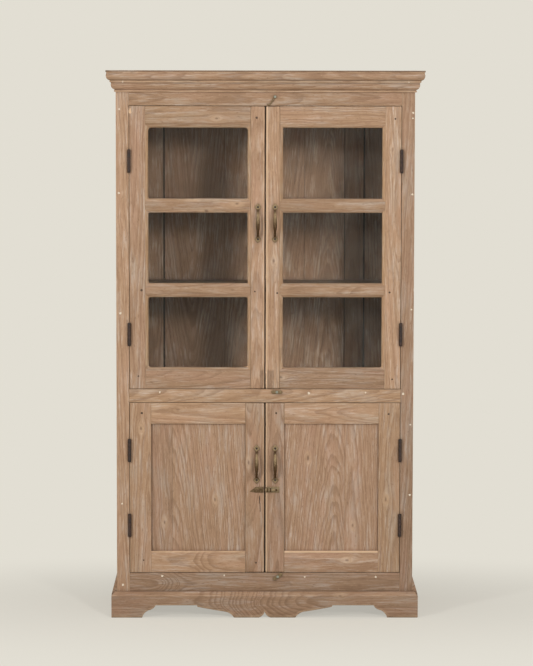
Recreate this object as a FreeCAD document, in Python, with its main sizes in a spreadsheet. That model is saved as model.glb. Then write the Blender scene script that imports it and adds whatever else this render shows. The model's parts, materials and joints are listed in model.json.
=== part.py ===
import FreeCAD, Part
import os
import re
from FreeCAD import Placement, Rotation, Vector

# A free-standing almirah of framed teak: two glazed doors over two panelled doors, a mitred cornice
# and a scalloped plinth. Front faces -Y, +X is the viewer's right, the floor is z = 0.

doc = FreeCAD.newDocument("almirah")

sizes = {
    # carcass
    "carcass_width": 976,
    "carcass_depth": 420,
    "post_width": 42,
    "post_depth": 50,
    "plinth_height": 85,
    "bottom_rail_height": 62,
    "lower_opening_height": 566,
    "middle_rail_height": 44,
    "upper_opening_height": 929,
    "top_rail_height": 44,
    "cornice_height": 70,
    "rail_thickness": 30,
    "plinth_lap": 24,
    "side_rail_thickness": 24,
    "tenon_thickness": 10,
    "tenon_length": 24,
    "tenon_shoulder": 10,
    "side_panel_thickness": 10,
    "side_panel_setback": 6,
    "side_panel_tongue": 8,
    "back_board_thickness": 12,
    "back_rebate": 14,
    "back_board_gap": 1.5,
    "top_board_thickness": 16,
    "deck_thickness": 16,
    "shelf_thickness": 16,
    "cupboard_shelf_height": 285,
    "cleat_width": 18,
    "cleat_height": 22,
    # mouldings
    "cornice_overhang": 32,
    "plinth_overhang": 18,
    "plinth_chamfer_height": 13,
    "plinth_chamfer_depth": 11,
    "return_slope_drop": 8,
    "return_slope_height": 58,
    "scallop_height": 41,
    # doors
    "door_thickness": 24,
    "door_gap": 1.5,
    "hinge_gap": 1.5,
    "meeting_gap": 4,
    "stop_gap": 1,
    "upper_hinge_stile": 62,
    "upper_meeting_stile": 56,
    "upper_rail": 70,
    "glazing_bar": 46,
    "sticking_width": 10,
    "sticking_depth": 5,
    "glass_thickness": 3,
    "glass_rebate": 8,
    "glass_setback": 11,
    "glass_clearance": 1,
    "lower_hinge_stile": 70,
    "lower_meeting_stile": 62,
    "lower_top_rail": 69,
    "lower_bottom_rail": 71,
    "door_panel_thickness": 9,
    "door_panel_setback": 8,
    "door_panel_tongue": 9,
    "groove_clearance": 1,
    "door_tenon_length": 35,
    "door_tenon_thickness": 8,
    "door_tenon_shoulder": 12,
    # hinges
    "hinge_height": 75,
    "upper_hinge_inset": 179,
    "lower_hinge_inset": 157,
    "barrel_radius": 5,
    "barrel_standoff": 0.5,
    "knuckle_gap": 0.4,
    "hinge_pin_radius": 2.5,
    "hinge_pin_clearance": 0.05,
    "hinge_pin_head_radius": 4,
    "hinge_pin_head_height": 1.2,
    "leaf_thickness": 2,
    "leaf_depth": 22,
    "leaf_clearance": 0.2,
    # pulls
    "pull_screw_spacing": 105,
    "pull_neck_spacing": 87,
    "pull_standoff": 23,
    "pull_grip_radius": 6,
    "pull_neck_radius": 3.2,
    "rosette_width": 22,
    "rosette_length": 24,
    "rosette_thickness": 3.5,
    "pull_screw_radius": 2,
    "pull_screw_head_radius": 3.4,
    "pull_screw_head_height": 1.6,
    "pull_screw_length": 18,
    "upper_pull_drop": 57,
    "lower_pull_drop": 203,
    "upper_left_pull_inset": 22,
    "upper_right_pull_inset": 30,
    "lower_left_pull_inset": 25,
    "lower_right_pull_inset": 32,
    # turn buttons and hooked catch
    "button_length": 36,
    "button_width": 11,
    "button_thickness": 5,
    "latch_standoff": 0.5,
    "latch_screw_radius": 2,
    "latch_screw_clearance": 0.05,
    "latch_screw_head_radius": 4.2,
    "latch_screw_head_height": 2.2,
    "latch_screw_length": 16,
    "waist_button_offset": 39,
    "waist_button_drop": 9,
    "bottom_button_offset": 43,
    "bottom_button_drop": 12.5,
    "hook_offset": 31,
    "hook_rise": 29,
    "hook_eye_radius": 5,
    "hook_shank_radius": 2.2,
    "hook_shank_length": 29,
    "hook_curl_radius": 5,
    # slide bolt
    "bolt_drop": 84.5,
    "bolt_width": 8,
    "bolt_thickness": 5,
    "bolt_length": 44,
    "bolt_end_gap": 0.5,
    "bolt_clearance": 0.3,
    "bolt_plate_length": 44,
    "bolt_plate_width": 19,
    "bolt_plate_thickness": 2,
    "bolt_plate_inset": 2,
    "collar_wall": 2,
    "collar_width": 4.5,
    "collar_inset": 7,
    "collar_spacing": 9,
    "bolt_knob_radius": 3.5,
    "bolt_knob_height": 4,
    "bolt_knob_inset": 3,
    "keeper_length": 46,
    "keeper_droop": 6,
    # cuts run past the faces that they open
    "cut_overrun": 5,
}

places = {
    "half_width": "carcass_width / 2",
    "opening_half": "half_width - post_width",
    "front_y": "(cornice_overhang - carcass_depth) / 2",
    "back_y": "front_y + carcass_depth",
    "back_face_y": "back_y - back_board_thickness",
    "lower_z": "plinth_height + bottom_rail_height",
    "waist_z": "lower_z + lower_opening_height",
    "upper_z": "waist_z + middle_rail_height",
    "top_rail_z": "upper_z + upper_opening_height",
    "cornice_z": "top_rail_z + top_rail_height",
    "total_height": "cornice_z + cornice_height",
    "post_top": "total_height - top_board_thickness",
    "rail_bottom": "plinth_height - plinth_lap",
    "shelf_front_y": "front_y + door_thickness + stop_gap",
    "side_inner": "half_width - side_rail_thickness",
    "panel_outer": "half_width - side_panel_setback",
    "panel_inner": "panel_outer - side_panel_thickness",
    "door_near": "meeting_gap / 2",
    "door_far": "opening_half - hinge_gap",
    "upper_door_z": "upper_z + door_gap",
    "upper_door_top": "top_rail_z - door_gap",
    "lower_door_z": "lower_z + door_gap",
    "lower_door_top": "waist_z - door_gap",
    "pane_height": "(upper_door_top - upper_door_z - 2 * upper_rail - 2 * glazing_bar) / 3",
    "pane_step": "pane_height + glazing_bar",
    "first_pane_z": "upper_door_z + upper_rail",
    "second_bar_z": "first_pane_z + 2 * pane_step - glazing_bar / 2",
    "upper_pull_z": "second_bar_z - upper_pull_drop",
    "lower_pull_z": "lower_door_top - lower_pull_drop",
    "bolt_z": "lower_pull_z - bolt_drop",
    "hinge_line": "opening_half - hinge_gap / 2",
    "hinge_y": "front_y - barrel_radius - barrel_standoff",
    "knuckle_step": "hinge_height / 5",
}

sheet = doc.addObject("Spreadsheet::Sheet", "Sizes")
layout = doc.addObject("Spreadsheet::Sheet", "Places")
nodes = []


def bound(text):
    """The expression with each size and place named by its sheet."""
    def full_name(match):
        word = match.group(0)
        if word in sizes:
            return "Sizes." + word
        if word in places:
            return "Places." + word
        return word
    return re.sub(r"[a-z_]+", full_name, str(text))


def fill_sheets():
    for row, (alias, size) in enumerate(sizes.items(), start=1):
        sheet.set(f"A{row}", alias)
        sheet.set(f"B{row}", str(size))
        sheet.setAlias(f"B{row}", alias)
    for row, (alias, text) in enumerate(places.items(), start=1):
        layout.set(f"A{row}", alias)
        layout.setAlias(f"B{row}", alias)
        layout.set(f"B{row}", "=" + bound(text).replace("Places.", ""))
    doc.recompute()


def value(text):
    return float(layout.evalExpression(bound(text)))


def point(x, y, z):
    return Vector(value(x), value(y), value(z))


def box(name, across, along, up):
    """A box between two expressions on each axis."""
    piece = doc.addObject("Part::Box", name)
    spans = zip(("Length", "Width", "Height"), "xyz", (across, along, up))
    for side, axis, (low, high) in spans:
        piece.setExpression(side, bound(f"({high}) - ({low})"))
        piece.setExpression(f".Placement.Base.{axis}", bound(low))
    return piece


def cylinder(name, radius, length, base, turn=None):
    """A cylinder that rises along z from base, or along the axis that turn takes z to."""
    piece = doc.addObject("Part::Cylinder", name)
    piece.setExpression("Radius", bound(radius))
    piece.setExpression("Height", bound(length))
    if turn:
        piece.Placement = Placement(Vector(), turn)
    for axis, text in zip("xyz", base):
        piece.setExpression(f".Placement.Base.{axis}", bound(text))
    return piece


def compound(name, pieces):
    piece = doc.addObject("Part::Compound", name)
    piece.Links = pieces
    return piece


def fuse(name, pieces):
    piece = doc.addObject("Part::MultiFuse", name)
    piece.Shapes = pieces
    return piece


def cut(name, base, tool):
    piece = doc.addObject("Part::Cut", name)
    piece.Base = base
    piece.Tool = tool
    return piece


def shaped(name, shape):
    piece = doc.addObject("Part::Feature", name)
    piece.Shape = shape
    return piece


def node(label, piece):
    piece.Label = label
    nodes.append(piece)
    return piece


def sided(side, near, far):
    """A span across the front, from distances to the centre line on one side."""
    if side > 0:
        return (near, far)
    return (f"-({far})", f"-({near})")


forward = Rotation(Vector(1, 0, 0), 90)
sides = {"left": -1, "right": 1}


def outline_face(points, place):
    """A face inside an outline: plain points are joined by lines, pairs by an arc through the first."""
    start = place(points[0])
    edges = []
    here = start
    for entry in points[1:] + [points[0]]:
        if isinstance(entry[0], tuple):
            middle, end = place(entry[0]), place(entry[1])
            edges.append(Part.Arc(here, middle, end).toShape())
        else:
            end = place(entry)
            edges.append(Part.LineSegment(here, end).toShape())
        here = end
    return Part.Face(Part.Wire(edges))


# Front, rear and side rails, tenoned into the posts


def tenoned_rail(name, across, along, up, axis):
    """A rail between its shoulders, with a centred tenon that runs out of both ends."""
    body = box(name + "_body", across, along, up)
    tenon_up = (f"{up[0]} + tenon_shoulder", f"{up[1]} - tenon_shoulder")
    thin = along if axis == "x" else across
    middle = f"(({thin[0]}) + ({thin[1]})) / 2"
    tenon_thin = (f"{middle} - tenon_thickness / 2", f"{middle} + tenon_thickness / 2")
    run = across if axis == "x" else along
    tenon_run = (f"{run[0]} - tenon_length", f"{run[1]} + tenon_length")
    if axis == "x":
        tenon = box(name + "_tenon", tenon_run, tenon_thin, tenon_up)
    else:
        tenon = box(name + "_tenon", tenon_thin, tenon_run, tenon_up)
    return fuse(name, [body, tenon])


rail_levels = {
    "top": ("top_rail_z", "post_top"),
    "middle": ("waist_z", "upper_z"),
    "bottom": ("rail_bottom", "lower_z"),
}


def front_and_rear_rails():
    across = ("-opening_half", "opening_half")
    front = {}
    rear = []
    for level, up in rail_levels.items():
        along = ("front_y", "front_y + rail_thickness")
        front[level] = tenoned_rail(f"{level}_front_blank", across, along, up, "x")
        along = ("back_face_y - rail_thickness", "back_face_y")
        rear.append(tenoned_rail(f"{level}_rear_rail", across, along, up, "x"))
    return front, node("rear_rails", compound("rear_rails", rear))


def side_panels():
    along = ("front_y + post_depth - side_panel_tongue", "back_y - post_depth + side_panel_tongue")
    panels = []
    for label, side in sides.items():
        across = sided(side, "panel_inner", "panel_outer")
        for bay, (low, high) in {"upper": ("upper_z", "top_rail_z"), "lower": ("lower_z", "waist_z")}.items():
            up = (f"{low} - side_panel_tongue", f"{high} + side_panel_tongue")
            panels.append(box(f"{bay}_{label}_side_panel", across, along, up))
    return node("side_panels", compound("side_panels", panels))


def side_rails(panels):
    along = ("front_y + post_depth", "back_y - post_depth")
    rails = []
    for label, side in sides.items():
        across = sided(side, "side_inner", "half_width")
        for level, up in rail_levels.items():
            blank = tenoned_rail(f"{level}_{label}_side_blank", across, along, up, "y")
            rails.append(cut(f"{level}_{label}_side_rail", blank, panels))
    return node("side_rails", compound("side_rails", rails))


# Planked back: boards of uneven width, nailed into the rebates of the rear posts

back_board_edge_shares = (-1, -0.743, -0.293, 0, 0.3, 0.598, 0.743, 1)


def back_boards():
    boards = []
    joints = [f"({share}) * (opening_half + back_rebate)" for share in back_board_edge_shares]
    last = len(joints) - 2
    for index, (low, high) in enumerate(zip(joints, joints[1:])):
        if index > 0:
            low = f"{low} + back_board_gap / 2"
        if index < last:
            high = f"{high} - back_board_gap / 2"
        boards.append(box(f"back_board_{index}", (low, high), ("back_face_y", "back_y"),
                          ("rail_bottom", "post_top")))
    return node("back_boards", compound("back_boards", boards))


# Hinges: a barrel of five knuckles that stands clear of the face, leaves let into post and stile

hinge_rows = {
    "upper": ("upper_door_top - upper_hinge_inset", "upper_door_z + upper_hinge_inset"),
    "lower": ("lower_door_top - lower_hinge_inset", "lower_door_z + lower_hinge_inset"),
}


def hinge_leaf(name, side, plate_span, centre_z, knuckles):
    """One leaf: its let-in plate, and its own knuckles with the tabs that carry them."""
    axis_x = f"{side} * hinge_line"
    across = sided(side, *plate_span)
    half_up = (f"{centre_z} - hinge_height / 2", f"{centre_z} + hinge_height / 2")
    plate = box(name + "_plate", across, ("front_y", "front_y + leaf_depth"), half_up)
    pieces = [plate]
    for index in knuckles:
        low = f"{half_up[0]} + {index} * knuckle_step + knuckle_gap / 2"
        high = f"{half_up[0]} + {index + 1} * knuckle_step - knuckle_gap / 2"
        pieces.append(cylinder(f"{name}_knuckle_{index}", "barrel_radius", f"{high} - ({low})",
                               (axis_x, "hinge_y", low)))
        tab_along = ("hinge_y + (barrel_radius + hinge_pin_radius) / 2", "front_y")
        pieces.append(box(f"{name}_tab_{index}", across, tab_along, (low, high)))
    bore = cylinder(name + "_bore", "hinge_pin_radius + hinge_pin_clearance", "hinge_height",
                    (axis_x, "hinge_y", half_up[0]))
    return plate, cut(name, fuse(name + "_solid", pieces), bore)


def hinge_pin(name, side, centre_z):
    foot = (f"{side} * hinge_line", "hinge_y", f"{centre_z} - hinge_height / 2")
    top = (foot[0], foot[1], f"{centre_z} + hinge_height / 2")
    shank = cylinder(name + "_shank", "hinge_pin_radius", "hinge_height", foot)
    head = cylinder(name + "_head", "hinge_pin_head_radius", "hinge_pin_head_height", top)
    return fuse(name, [shank, head])


def hinges():
    """All eight hinges. Returns the let-in plates by side, and the door leaves by door."""
    post_span = ("hinge_line + leaf_clearance", "hinge_line + leaf_clearance + leaf_thickness")
    door_span = ("hinge_line - leaf_clearance - leaf_thickness", "hinge_line - leaf_clearance")
    post_plates = {"left": [], "right": []}
    door_plates = {}
    post_leaves = []
    pins = []
    for row, levels in hinge_rows.items():
        for label, side in sides.items():
            door = f"{row}_{label}"
            door_leaves = []
            door_plates[door] = []
            for index, centre_z in enumerate(levels):
                name = f"{door}_hinge_{index}"
                plate, leaf = hinge_leaf(name + "_post", side, post_span, centre_z, (0, 2, 4))
                post_plates[label].append(plate)
                post_leaves.append(leaf)
                plate, leaf = hinge_leaf(name + "_door", side, door_span, centre_z, (1, 3))
                door_plates[door].append(plate)
                door_leaves.append(leaf)
                pins.append(hinge_pin(name + "_pin", side, centre_z))
            node(f"{door}_hinge_leaves", compound(f"{door}_hinge_leaves", door_leaves))
    node("hinge_post_leaves", compound("hinge_post_leaves", post_leaves))
    node("hinge_pins", compound("hinge_pins", pins))
    return post_plates, door_plates


# Posts, mortised by what runs into them


def posts(front, rear, rails, panels, boards, post_plates):
    blanks = []
    for label, side in sides.items():
        across = sided(side, "opening_half", "half_width")
        up = ("0", "post_top")
        blank = box(f"front_{label}_post_blank", across, ("front_y", "front_y + post_depth"), up)
        tools = compound(f"front_{label}_mortises", [*front.values(), rails, panels, *post_plates[label]])
        node(f"front_{label}_post", cut(f"front_{label}_post", blank, tools))
        blanks.append(blank)
        blank = box(f"rear_{label}_post_blank", across, ("back_y - post_depth", "back_y"), up)
        tools = compound(f"rear_{label}_mortises", [rear, rails, panels, boards])
        node(f"rear_{label}_post", cut(f"rear_{label}_post", blank, tools))
        blanks.append(blank)
    return compound("post_blanks", blanks)


# Top board, decks and shelves, notched round the posts


def boards_inside(post_blanks):
    node("top_board", box("top_board", ("-half_width", "half_width"), ("front_y", "back_y"),
                          ("post_top", "total_height")))
    deck_across = ("-side_inner", "side_inner")
    deck_along = ("front_y + rail_thickness", "back_face_y - rail_thickness")
    for label, top in {"waist_deck": "upper_z", "bottom_deck": "lower_z"}.items():
        blank = box(label + "_blank", deck_across, deck_along, (f"{top} - deck_thickness", top))
        node(label, cut(label, blank, post_blanks))
    shelf_across = ("-panel_inner", "panel_inner")
    shelf_along = ("shelf_front_y", "back_face_y")
    shelf_tops = {
        "lower_display_shelf": "second_bar_z - pane_step + shelf_thickness / 2",
        "upper_display_shelf": "second_bar_z + shelf_thickness / 2",
        "cupboard_shelf": "lower_z + cupboard_shelf_height",
    }
    bearers = []
    for label, top in shelf_tops.items():
        blank = box(label + "_blank", shelf_across, shelf_along, (f"{top} - shelf_thickness", top))
        node(label, cut(label, blank, post_blanks))
        for hand, side in sides.items():
            across = sided(side, "opening_half - cleat_width", "opening_half")
            up = (f"{top} - shelf_thickness - cleat_height", f"{top} - shelf_thickness")
            bearers.append(box(f"{label}_{hand}_cleat", across, shelf_along, up))
    for label, top in {"waist": "upper_z", "bottom": "lower_z"}.items():
        for hand, side in sides.items():
            across = sided(side, "side_inner - cleat_width", "side_inner")
            along = ("front_y + post_depth", "back_y - post_depth")
            up = (f"{top} - deck_thickness - cleat_height", f"{top} - deck_thickness")
            bearers.append(box(f"{label}_{hand}_bearer", across, along, up))
    node("shelf_bearers", compound("shelf_bearers", bearers))


# Cornice and plinth: mouldings mitred at the front corners

cornice_profile_shares = [
    (0, 0),
    (0.10, 0),
    ((0.17, 0.045), (0.11, 0.09)),
    (0.13, 0.115),
    ((0.37, 0.19), (0.475, 0.33)),
    (0.46, 0.42),
    (0.51, 0.445),
    ((0.60, 0.485), (0.57, 0.525)),
    (0.62, 0.54),
    ((0.87, 0.62), (0.95, 0.72)),
    ((0.955, 0.79), (0.915, 0.85)),
    (0.915, 0.905),
    (0.965, 0.925),
    (1, 0.945),
    (1, 1),
    (0, 1),
]


def mitre_prisms(overhang, low, high):
    """Plan wedges that end the front and the two side mouldings at the corner mitres."""
    hw, front, back = value("half_width"), value("front_y"), value("back_y")
    out = value(overhang)
    floor, rise = value(low), Vector(0, 0, value(high) - value(low))

    def prism(corners):
        ring = [Vector(x, y, floor) for x, y in corners]
        return Part.Face(Part.makePolygon(ring + ring[:1])).extrude(rise)

    plans = {"front": [(-hw, front), (hw, front), (hw + out, front - out), (-hw - out, front - out)]}
    for label, side in sides.items():
        plans[label] = [(side * hw, front), (side * hw, back), (side * (hw + out), back),
                        (side * (hw + out), front - out)]
    return {label: prism(corners) for label, corners in plans.items()}


def moulding_run(profile, side, overhang):
    """A profile of (outward, up) points run along one side of the carcass, past both corners."""
    length = value(f"carcass_width + 2 * {overhang}")
    if side == "front":
        start, run = point(f"-half_width - {overhang}", "front_y", "0"), Vector(length, 0, 0)
        outward = Vector(0, -1, 0)
    else:
        sign = sides[side]
        start = point(f"{sign} * half_width", f"front_y - {overhang}", "0")
        run = Vector(0, value(f"carcass_depth + {overhang}"), 0)
        outward = Vector(sign, 0, 0)
    face = outline_face(profile, lambda uv: start + outward * uv[0] + Vector(0, 0, uv[1]))
    return face.extrude(run)


def cornice():
    depth, low, rise = value("cornice_overhang"), value("cornice_z"), value("cornice_height")

    def sized(uv):
        return (uv[0] * depth, low + uv[1] * rise)

    profile = []
    for entry in cornice_profile_shares:
        curved = isinstance(entry[0], tuple)
        profile.append(tuple(sized(uv) for uv in entry) if curved else sized(entry))
    prisms = mitre_prisms("cornice_overhang", "cornice_z", "total_height")
    runs = {}
    for side, prism in prisms.items():
        runs[side] = shaped(f"cornice_{side}", moulding_run(profile, side, "cornice_overhang").common(prism))
    node("cornice_front", runs["front"])
    node("cornice_returns", compound("cornice_returns", [runs["left"], runs["right"]]))


# One half of the scalloped lower edge, from the centre notch to the foot, as shares of the
# plinth's half length and of the scallop's height

scallop_shares = [
    (0, 0.48),
    ((0.013, 0.19), (0.04, 0)),
    (0.2, 0),
    ((0.225, 0.32), (0.267, 0.5)),
    ((0.35, 0.67), (0.439, 0.88)),
    (0.443, 1),
    (0.711, 1),
    ((0.727, 0.76), (0.757, 0.6)),
    ((0.785, 0.35), (0.8, 0)),
]


def scallop_cutter():
    """What is cut away under the front board, mirrored about the centre line."""
    reach, rise = value("half_width + plinth_overhang"), value("scallop_height")
    run = Vector(0, -value("plinth_overhang + 2 * cut_overrun"), 0)
    below = -value("cut_overrun")
    cutters = []
    for side in (-1, 1):
        def place(share, side=side):
            height = share[1] * rise if share[1] >= 0 else below
            return Vector(side * share[0] * reach, value("front_y + cut_overrun"), height)
        ring = scallop_shares + [(scallop_shares[-1][1][0], -1), (0, -1)]
        cutters.append(outline_face(ring, place).extrude(run))
    return cutters


def plinth():
    out, top = value("plinth_overhang"), value("plinth_height")
    chamfer_low = value("plinth_height - plinth_chamfer_height")
    chamfer_in = value("plinth_overhang - plinth_chamfer_depth")
    profile = [(0, 0), (out, 0), (out, chamfer_low), (chamfer_in, top), (0, top)]
    prisms = mitre_prisms("plinth_overhang", "0", "plinth_height")
    runs = {side: moulding_run(profile, side, "plinth_overhang").common(prism)
            for side, prism in prisms.items()}
    node("plinth_front", shaped("plinth_front", runs["front"].cut(scallop_cutter())))
    # behind the front corners the side boards rise in a long slope against the posts
    slope_low = value("plinth_height - return_slope_drop")
    slope_top = slope_low + value("return_slope_height")
    sloped = [(0, 0), (out, 0), (out, slope_low), (0, slope_top)]
    returns = []
    for side in sides:
        board = runs[side].fuse(moulding_run(sloped, side, "0")).removeSplitter()
        returns.append(shaped(f"plinth_{side}", board))
    node("plinth_returns", compound("plinth_returns", returns))


# Cast bow pull: two lozenge rosettes and a spindle-shaped grip that bows away from the door

grip_radius_shares = (0, 0.05, 0.2, 0.62, 1, 0.62, 0.2, 0.05, 0)


def pull_shape():
    half, neck = value("pull_screw_spacing / 2"), value("pull_neck_spacing / 2")
    standoff, thin, fat = value("pull_standoff"), value("pull_neck_radius"), value("pull_grip_radius")
    plate, screw = value("rosette_thickness"), value("pull_screw_radius")
    foot = plate / 2
    radius = (neck ** 2 + (standoff - foot) ** 2) / (2 * (standoff - foot))
    centre = Vector(0, radius - standoff, 0)
    bow = Part.Arc(Vector(0, -foot, -neck), Vector(0, -standoff, 0), Vector(0, -foot, neck))
    rings = []
    last = len(grip_radius_shares) - 1
    for index, share in enumerate(grip_radius_shares):
        at = bow.FirstParameter + (bow.LastParameter - bow.FirstParameter) * index / last
        spot, along = bow.value(at), (bow.value(at) - centre).cross(Vector(1, 0, 0))
        rings.append(Part.Wire(Part.makeCircle(thin + (fat - thin) * share, spot, along)))
    pieces = [Part.makeLoft(rings, True)]
    wide, tall = value("rosette_width / 2"), value("rosette_length / 2")
    for end in (-1, 1):
        middle = end * half
        corners = [Vector(-wide, 0, middle), Vector(0, 0, middle - tall), Vector(wide, 0, middle),
                   Vector(0, 0, middle + tall)]
        lozenge = Part.Face(Part.makePolygon(corners + corners[:1])).extrude(Vector(0, -plate, 0))
        hole = Part.makeCylinder(screw, plate, Vector(0, 0, middle), Vector(0, -1, 0))
        pieces.append(lozenge.cut(hole))
    return pieces[0].fuse(pieces[1:]).removeSplitter()


def pull(door, side, inset, centre_z, shape):
    """A pull on its stile. Returns its screws, which the stile is bored for."""
    x = f"{side} * (door_near + {inset})"
    grip = shaped(f"{door}_pull_casting", shape)
    grip.Placement = Placement(point(x, "front_y", centre_z), Rotation())
    screws = []
    for index, end in enumerate((-1, 1)):
        screw_z = f"{centre_z} + {end} * pull_screw_spacing / 2"
        shank = cylinder(f"{door}_pull_shank_{index}", "pull_screw_radius",
                         "pull_screw_length + rosette_thickness",
                         (x, "front_y + pull_screw_length", screw_z), forward)
        head = cylinder(f"{door}_pull_head_{index}", "pull_screw_head_radius", "pull_screw_head_height",
                        (x, "front_y - rosette_thickness", screw_z), forward)
        screws.append(fuse(f"{door}_pull_screw_{index}", [shank, head]))
    node(f"{door}_pull", compound(f"{door}_pull", [grip, *screws]))
    return screws


# Doors: mortised stiles and tenoned rails


def door_rail(name, across, up):
    along = ("front_y", "front_y + door_thickness")
    body = box(name + "_body", across, along, up)
    middle = "front_y + door_thickness / 2"
    tenon = box(name + "_tenon", (f"{across[0]} - door_tenon_length", f"{across[1]} + door_tenon_length"),
                (f"{middle} - door_tenon_thickness / 2", f"{middle} + door_tenon_thickness / 2"),
                (f"{up[0]} + door_tenon_shoulder", f"{up[1]} - door_tenon_shoulder"))
    return fuse(name, [body, tenon])


def door_stiles(door, side, widths, up, rails, openings, hinge_plates, screws):
    along = ("front_y", "front_y + door_thickness")
    hinge_stile, meeting_stile = widths
    blank = box(f"{door}_hinge_stile_blank", sided(side, f"door_far - {hinge_stile}", "door_far"), along, up)
    fitted = cut(f"{door}_hinge_stile_fitted", blank, compound(f"{door}_hinge_mortises",
                                                               [*rails, *hinge_plates]))
    node(f"{door}_hinge_stile", cut(f"{door}_hinge_stile", fitted, openings))
    blank = box(f"{door}_meeting_stile_blank", sided(side, "door_near", f"door_near + {meeting_stile}"),
                along, up)
    screw_pair = compound(f"{door}_pull_screws", screws)
    bored = cut(f"{door}_meeting_stile_bored", blank, screw_pair)
    fitted = cut(f"{door}_meeting_stile_fitted", bored, compound(f"{door}_meeting_mortises", rails))
    node(f"{door}_meeting_stile", cut(f"{door}_meeting_stile", fitted, openings))
    cut_rails = []
    for rail in rails:
        bored = cut(rail.Name + "_bored", rail, screw_pair)
        cut_rails.append(cut(rail.Name + "_cut", bored, openings))
    node(f"{door}_rails", compound(f"{door}_rails", cut_rails))


def widened(span, margin):
    return (f"{span[0]} - ({margin})", f"{span[1]} + ({margin})")


def sticking_cutter(name, across, up):
    """The bevel round one pane, wide at the face and narrow at its depth."""
    wedge = doc.addObject("Part::Wedge", name)
    limits = {
        "Xmin": f"{across[0]} - sticking_width", "Xmax": f"{across[1]} + sticking_width",
        "Zmin": f"{up[0]} - sticking_width", "Zmax": f"{up[1]} + sticking_width",
        "X2min": across[0], "X2max": across[1],
        "Z2min": up[0], "Z2max": up[1],
        "Ymin": "front_y", "Ymax": "front_y + sticking_depth",
    }
    for limit, text in limits.items():
        wedge.setExpression(limit, bound(text))
    return wedge


def upper_door(label, side, hinge_plates, screws):
    door = f"upper_{label}"
    across = sided(side, "door_near + upper_meeting_stile", "door_far - upper_hinge_stile")
    rail_across = widened(across, "sticking_width")
    rail_ups = [("upper_door_z", "first_pane_z")]
    for index in (1, 2):
        high = f"first_pane_z + {index} * pane_step"
        rail_ups.append((f"{high} - glazing_bar", high))
    rail_ups.append(("upper_door_top - upper_rail", "upper_door_top"))
    rails = [door_rail(f"{door}_rail_{index}", rail_across, up) for index, up in enumerate(rail_ups)]
    cutters, panes, beads = [], [], []
    glass_y, back = "front_y + glass_setback", "front_y + door_thickness"
    behind = (f"{glass_y} + glass_thickness", back)
    for index in range(3):
        low = f"first_pane_z + {index} * pane_step"
        up = (low, f"{low} + pane_height")
        rebate_across, rebate_up = widened(across, "glass_rebate"), widened(up, "glass_rebate")
        light = box(f"{door}_light_{index}", across, ("front_y", back), up)
        rebate = box(f"{door}_rebate_{index}", rebate_across, (glass_y, back), rebate_up)
        cutters.append(sticking_cutter(f"{door}_sticking_{index}", across, up))
        cutters.append(rebate)
        fit = "glass_rebate - glass_clearance"
        panes.append(box(f"{door}_pane_{index}", widened(across, fit), (glass_y, behind[0]),
                         widened(up, fit)))
        blank = box(f"{door}_bead_blank_{index}", rebate_across, behind, rebate_up)
        beads.append(cut(f"{door}_bead_{index}", blank, light))
    openings = compound(f"{door}_openings", cutters)
    door_stiles(door, side, ("upper_hinge_stile", "upper_meeting_stile"), ("upper_door_z", "upper_door_top"),
                rails, openings, hinge_plates, screws)
    node(f"{door}_panes", compound(f"{door}_panes", panes))
    node(f"{door}_beads", compound(f"{door}_beads", beads))


def lower_door(label, side, hinge_plates, screws):
    door = f"lower_{label}"
    across = sided(side, "door_near + lower_meeting_stile", "door_far - lower_hinge_stile")
    up = ("lower_door_z + lower_bottom_rail", "lower_door_top - lower_top_rail")
    rails = [door_rail(f"{door}_rail_0", across, ("lower_door_z", up[0])),
             door_rail(f"{door}_rail_1", across, (up[1], "lower_door_top"))]
    panel_along = ("front_y + door_panel_setback", "front_y + door_panel_setback + door_panel_thickness")
    groove = "door_panel_tongue + groove_clearance"
    openings = box(f"{door}_groove", widened(across, groove), panel_along, widened(up, groove))
    door_stiles(door, side, ("lower_hinge_stile", "lower_meeting_stile"), ("lower_door_z", "lower_door_top"),
                rails, openings, hinge_plates, screws)
    node(f"{door}_panel", box(f"{door}_panel", widened(across, "door_panel_tongue"), panel_along,
                              widened(up, "door_panel_tongue")))


def doors(door_plates):
    builders = {"upper": upper_door, "lower": lower_door}
    casting = pull_shape()
    for row, builder in builders.items():
        for label, side in sides.items():
            door = f"{row}_{label}"
            screws = pull(door, side, f"{door}_pull_inset", f"{row}_pull_z", casting)
            builder(label, side, door_plates[door], screws)


# Turn buttons and the hooked catch, each on a pivot screw in its rail

waist_button_turn_degrees = 0
bottom_button_turn_degrees = -34
hook_turn_degrees = 33
hook_curl_degrees = 130
latch_face = "-latch_standoff"
button_front = "-latch_standoff - button_thickness"


def pivot(x, z):
    """A latch's pivot on the front face, and the screw that holds it there."""
    base = (x, "front_y", z)
    name = f"latch_screw_{len(pivots)}"
    shank = cylinder(name + "_shank", "latch_screw_radius",
                     "latch_screw_length + 2 * latch_standoff + button_thickness",
                     (x, "front_y + latch_screw_length", z), forward)
    head = cylinder(name + "_head", "latch_screw_head_radius", "latch_screw_head_height",
                    (x, "front_y - 2 * latch_standoff - button_thickness", z), forward)
    pivots.append(fuse(name, [shank, head]))
    return base


def pivoted(label, pieces, turn, base):
    """A latch made about its own pivot, bored for the screw, then set at its rest turn."""
    bore = cylinder(label + "_bore", "latch_screw_radius + latch_screw_clearance",
                    "button_thickness + 2 * latch_standoff", ("0", "0", "0"), forward)
    latch = cut(label, fuse(label + "_solid", pieces), bore)
    latch.Placement = Placement(Vector(), Rotation(Vector(0, 1, 0), turn))
    for axis, text in zip("xyz", base):
        latch.setExpression(f".Placement.Base.{axis}", bound(text))
    return node(label, latch)


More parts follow.
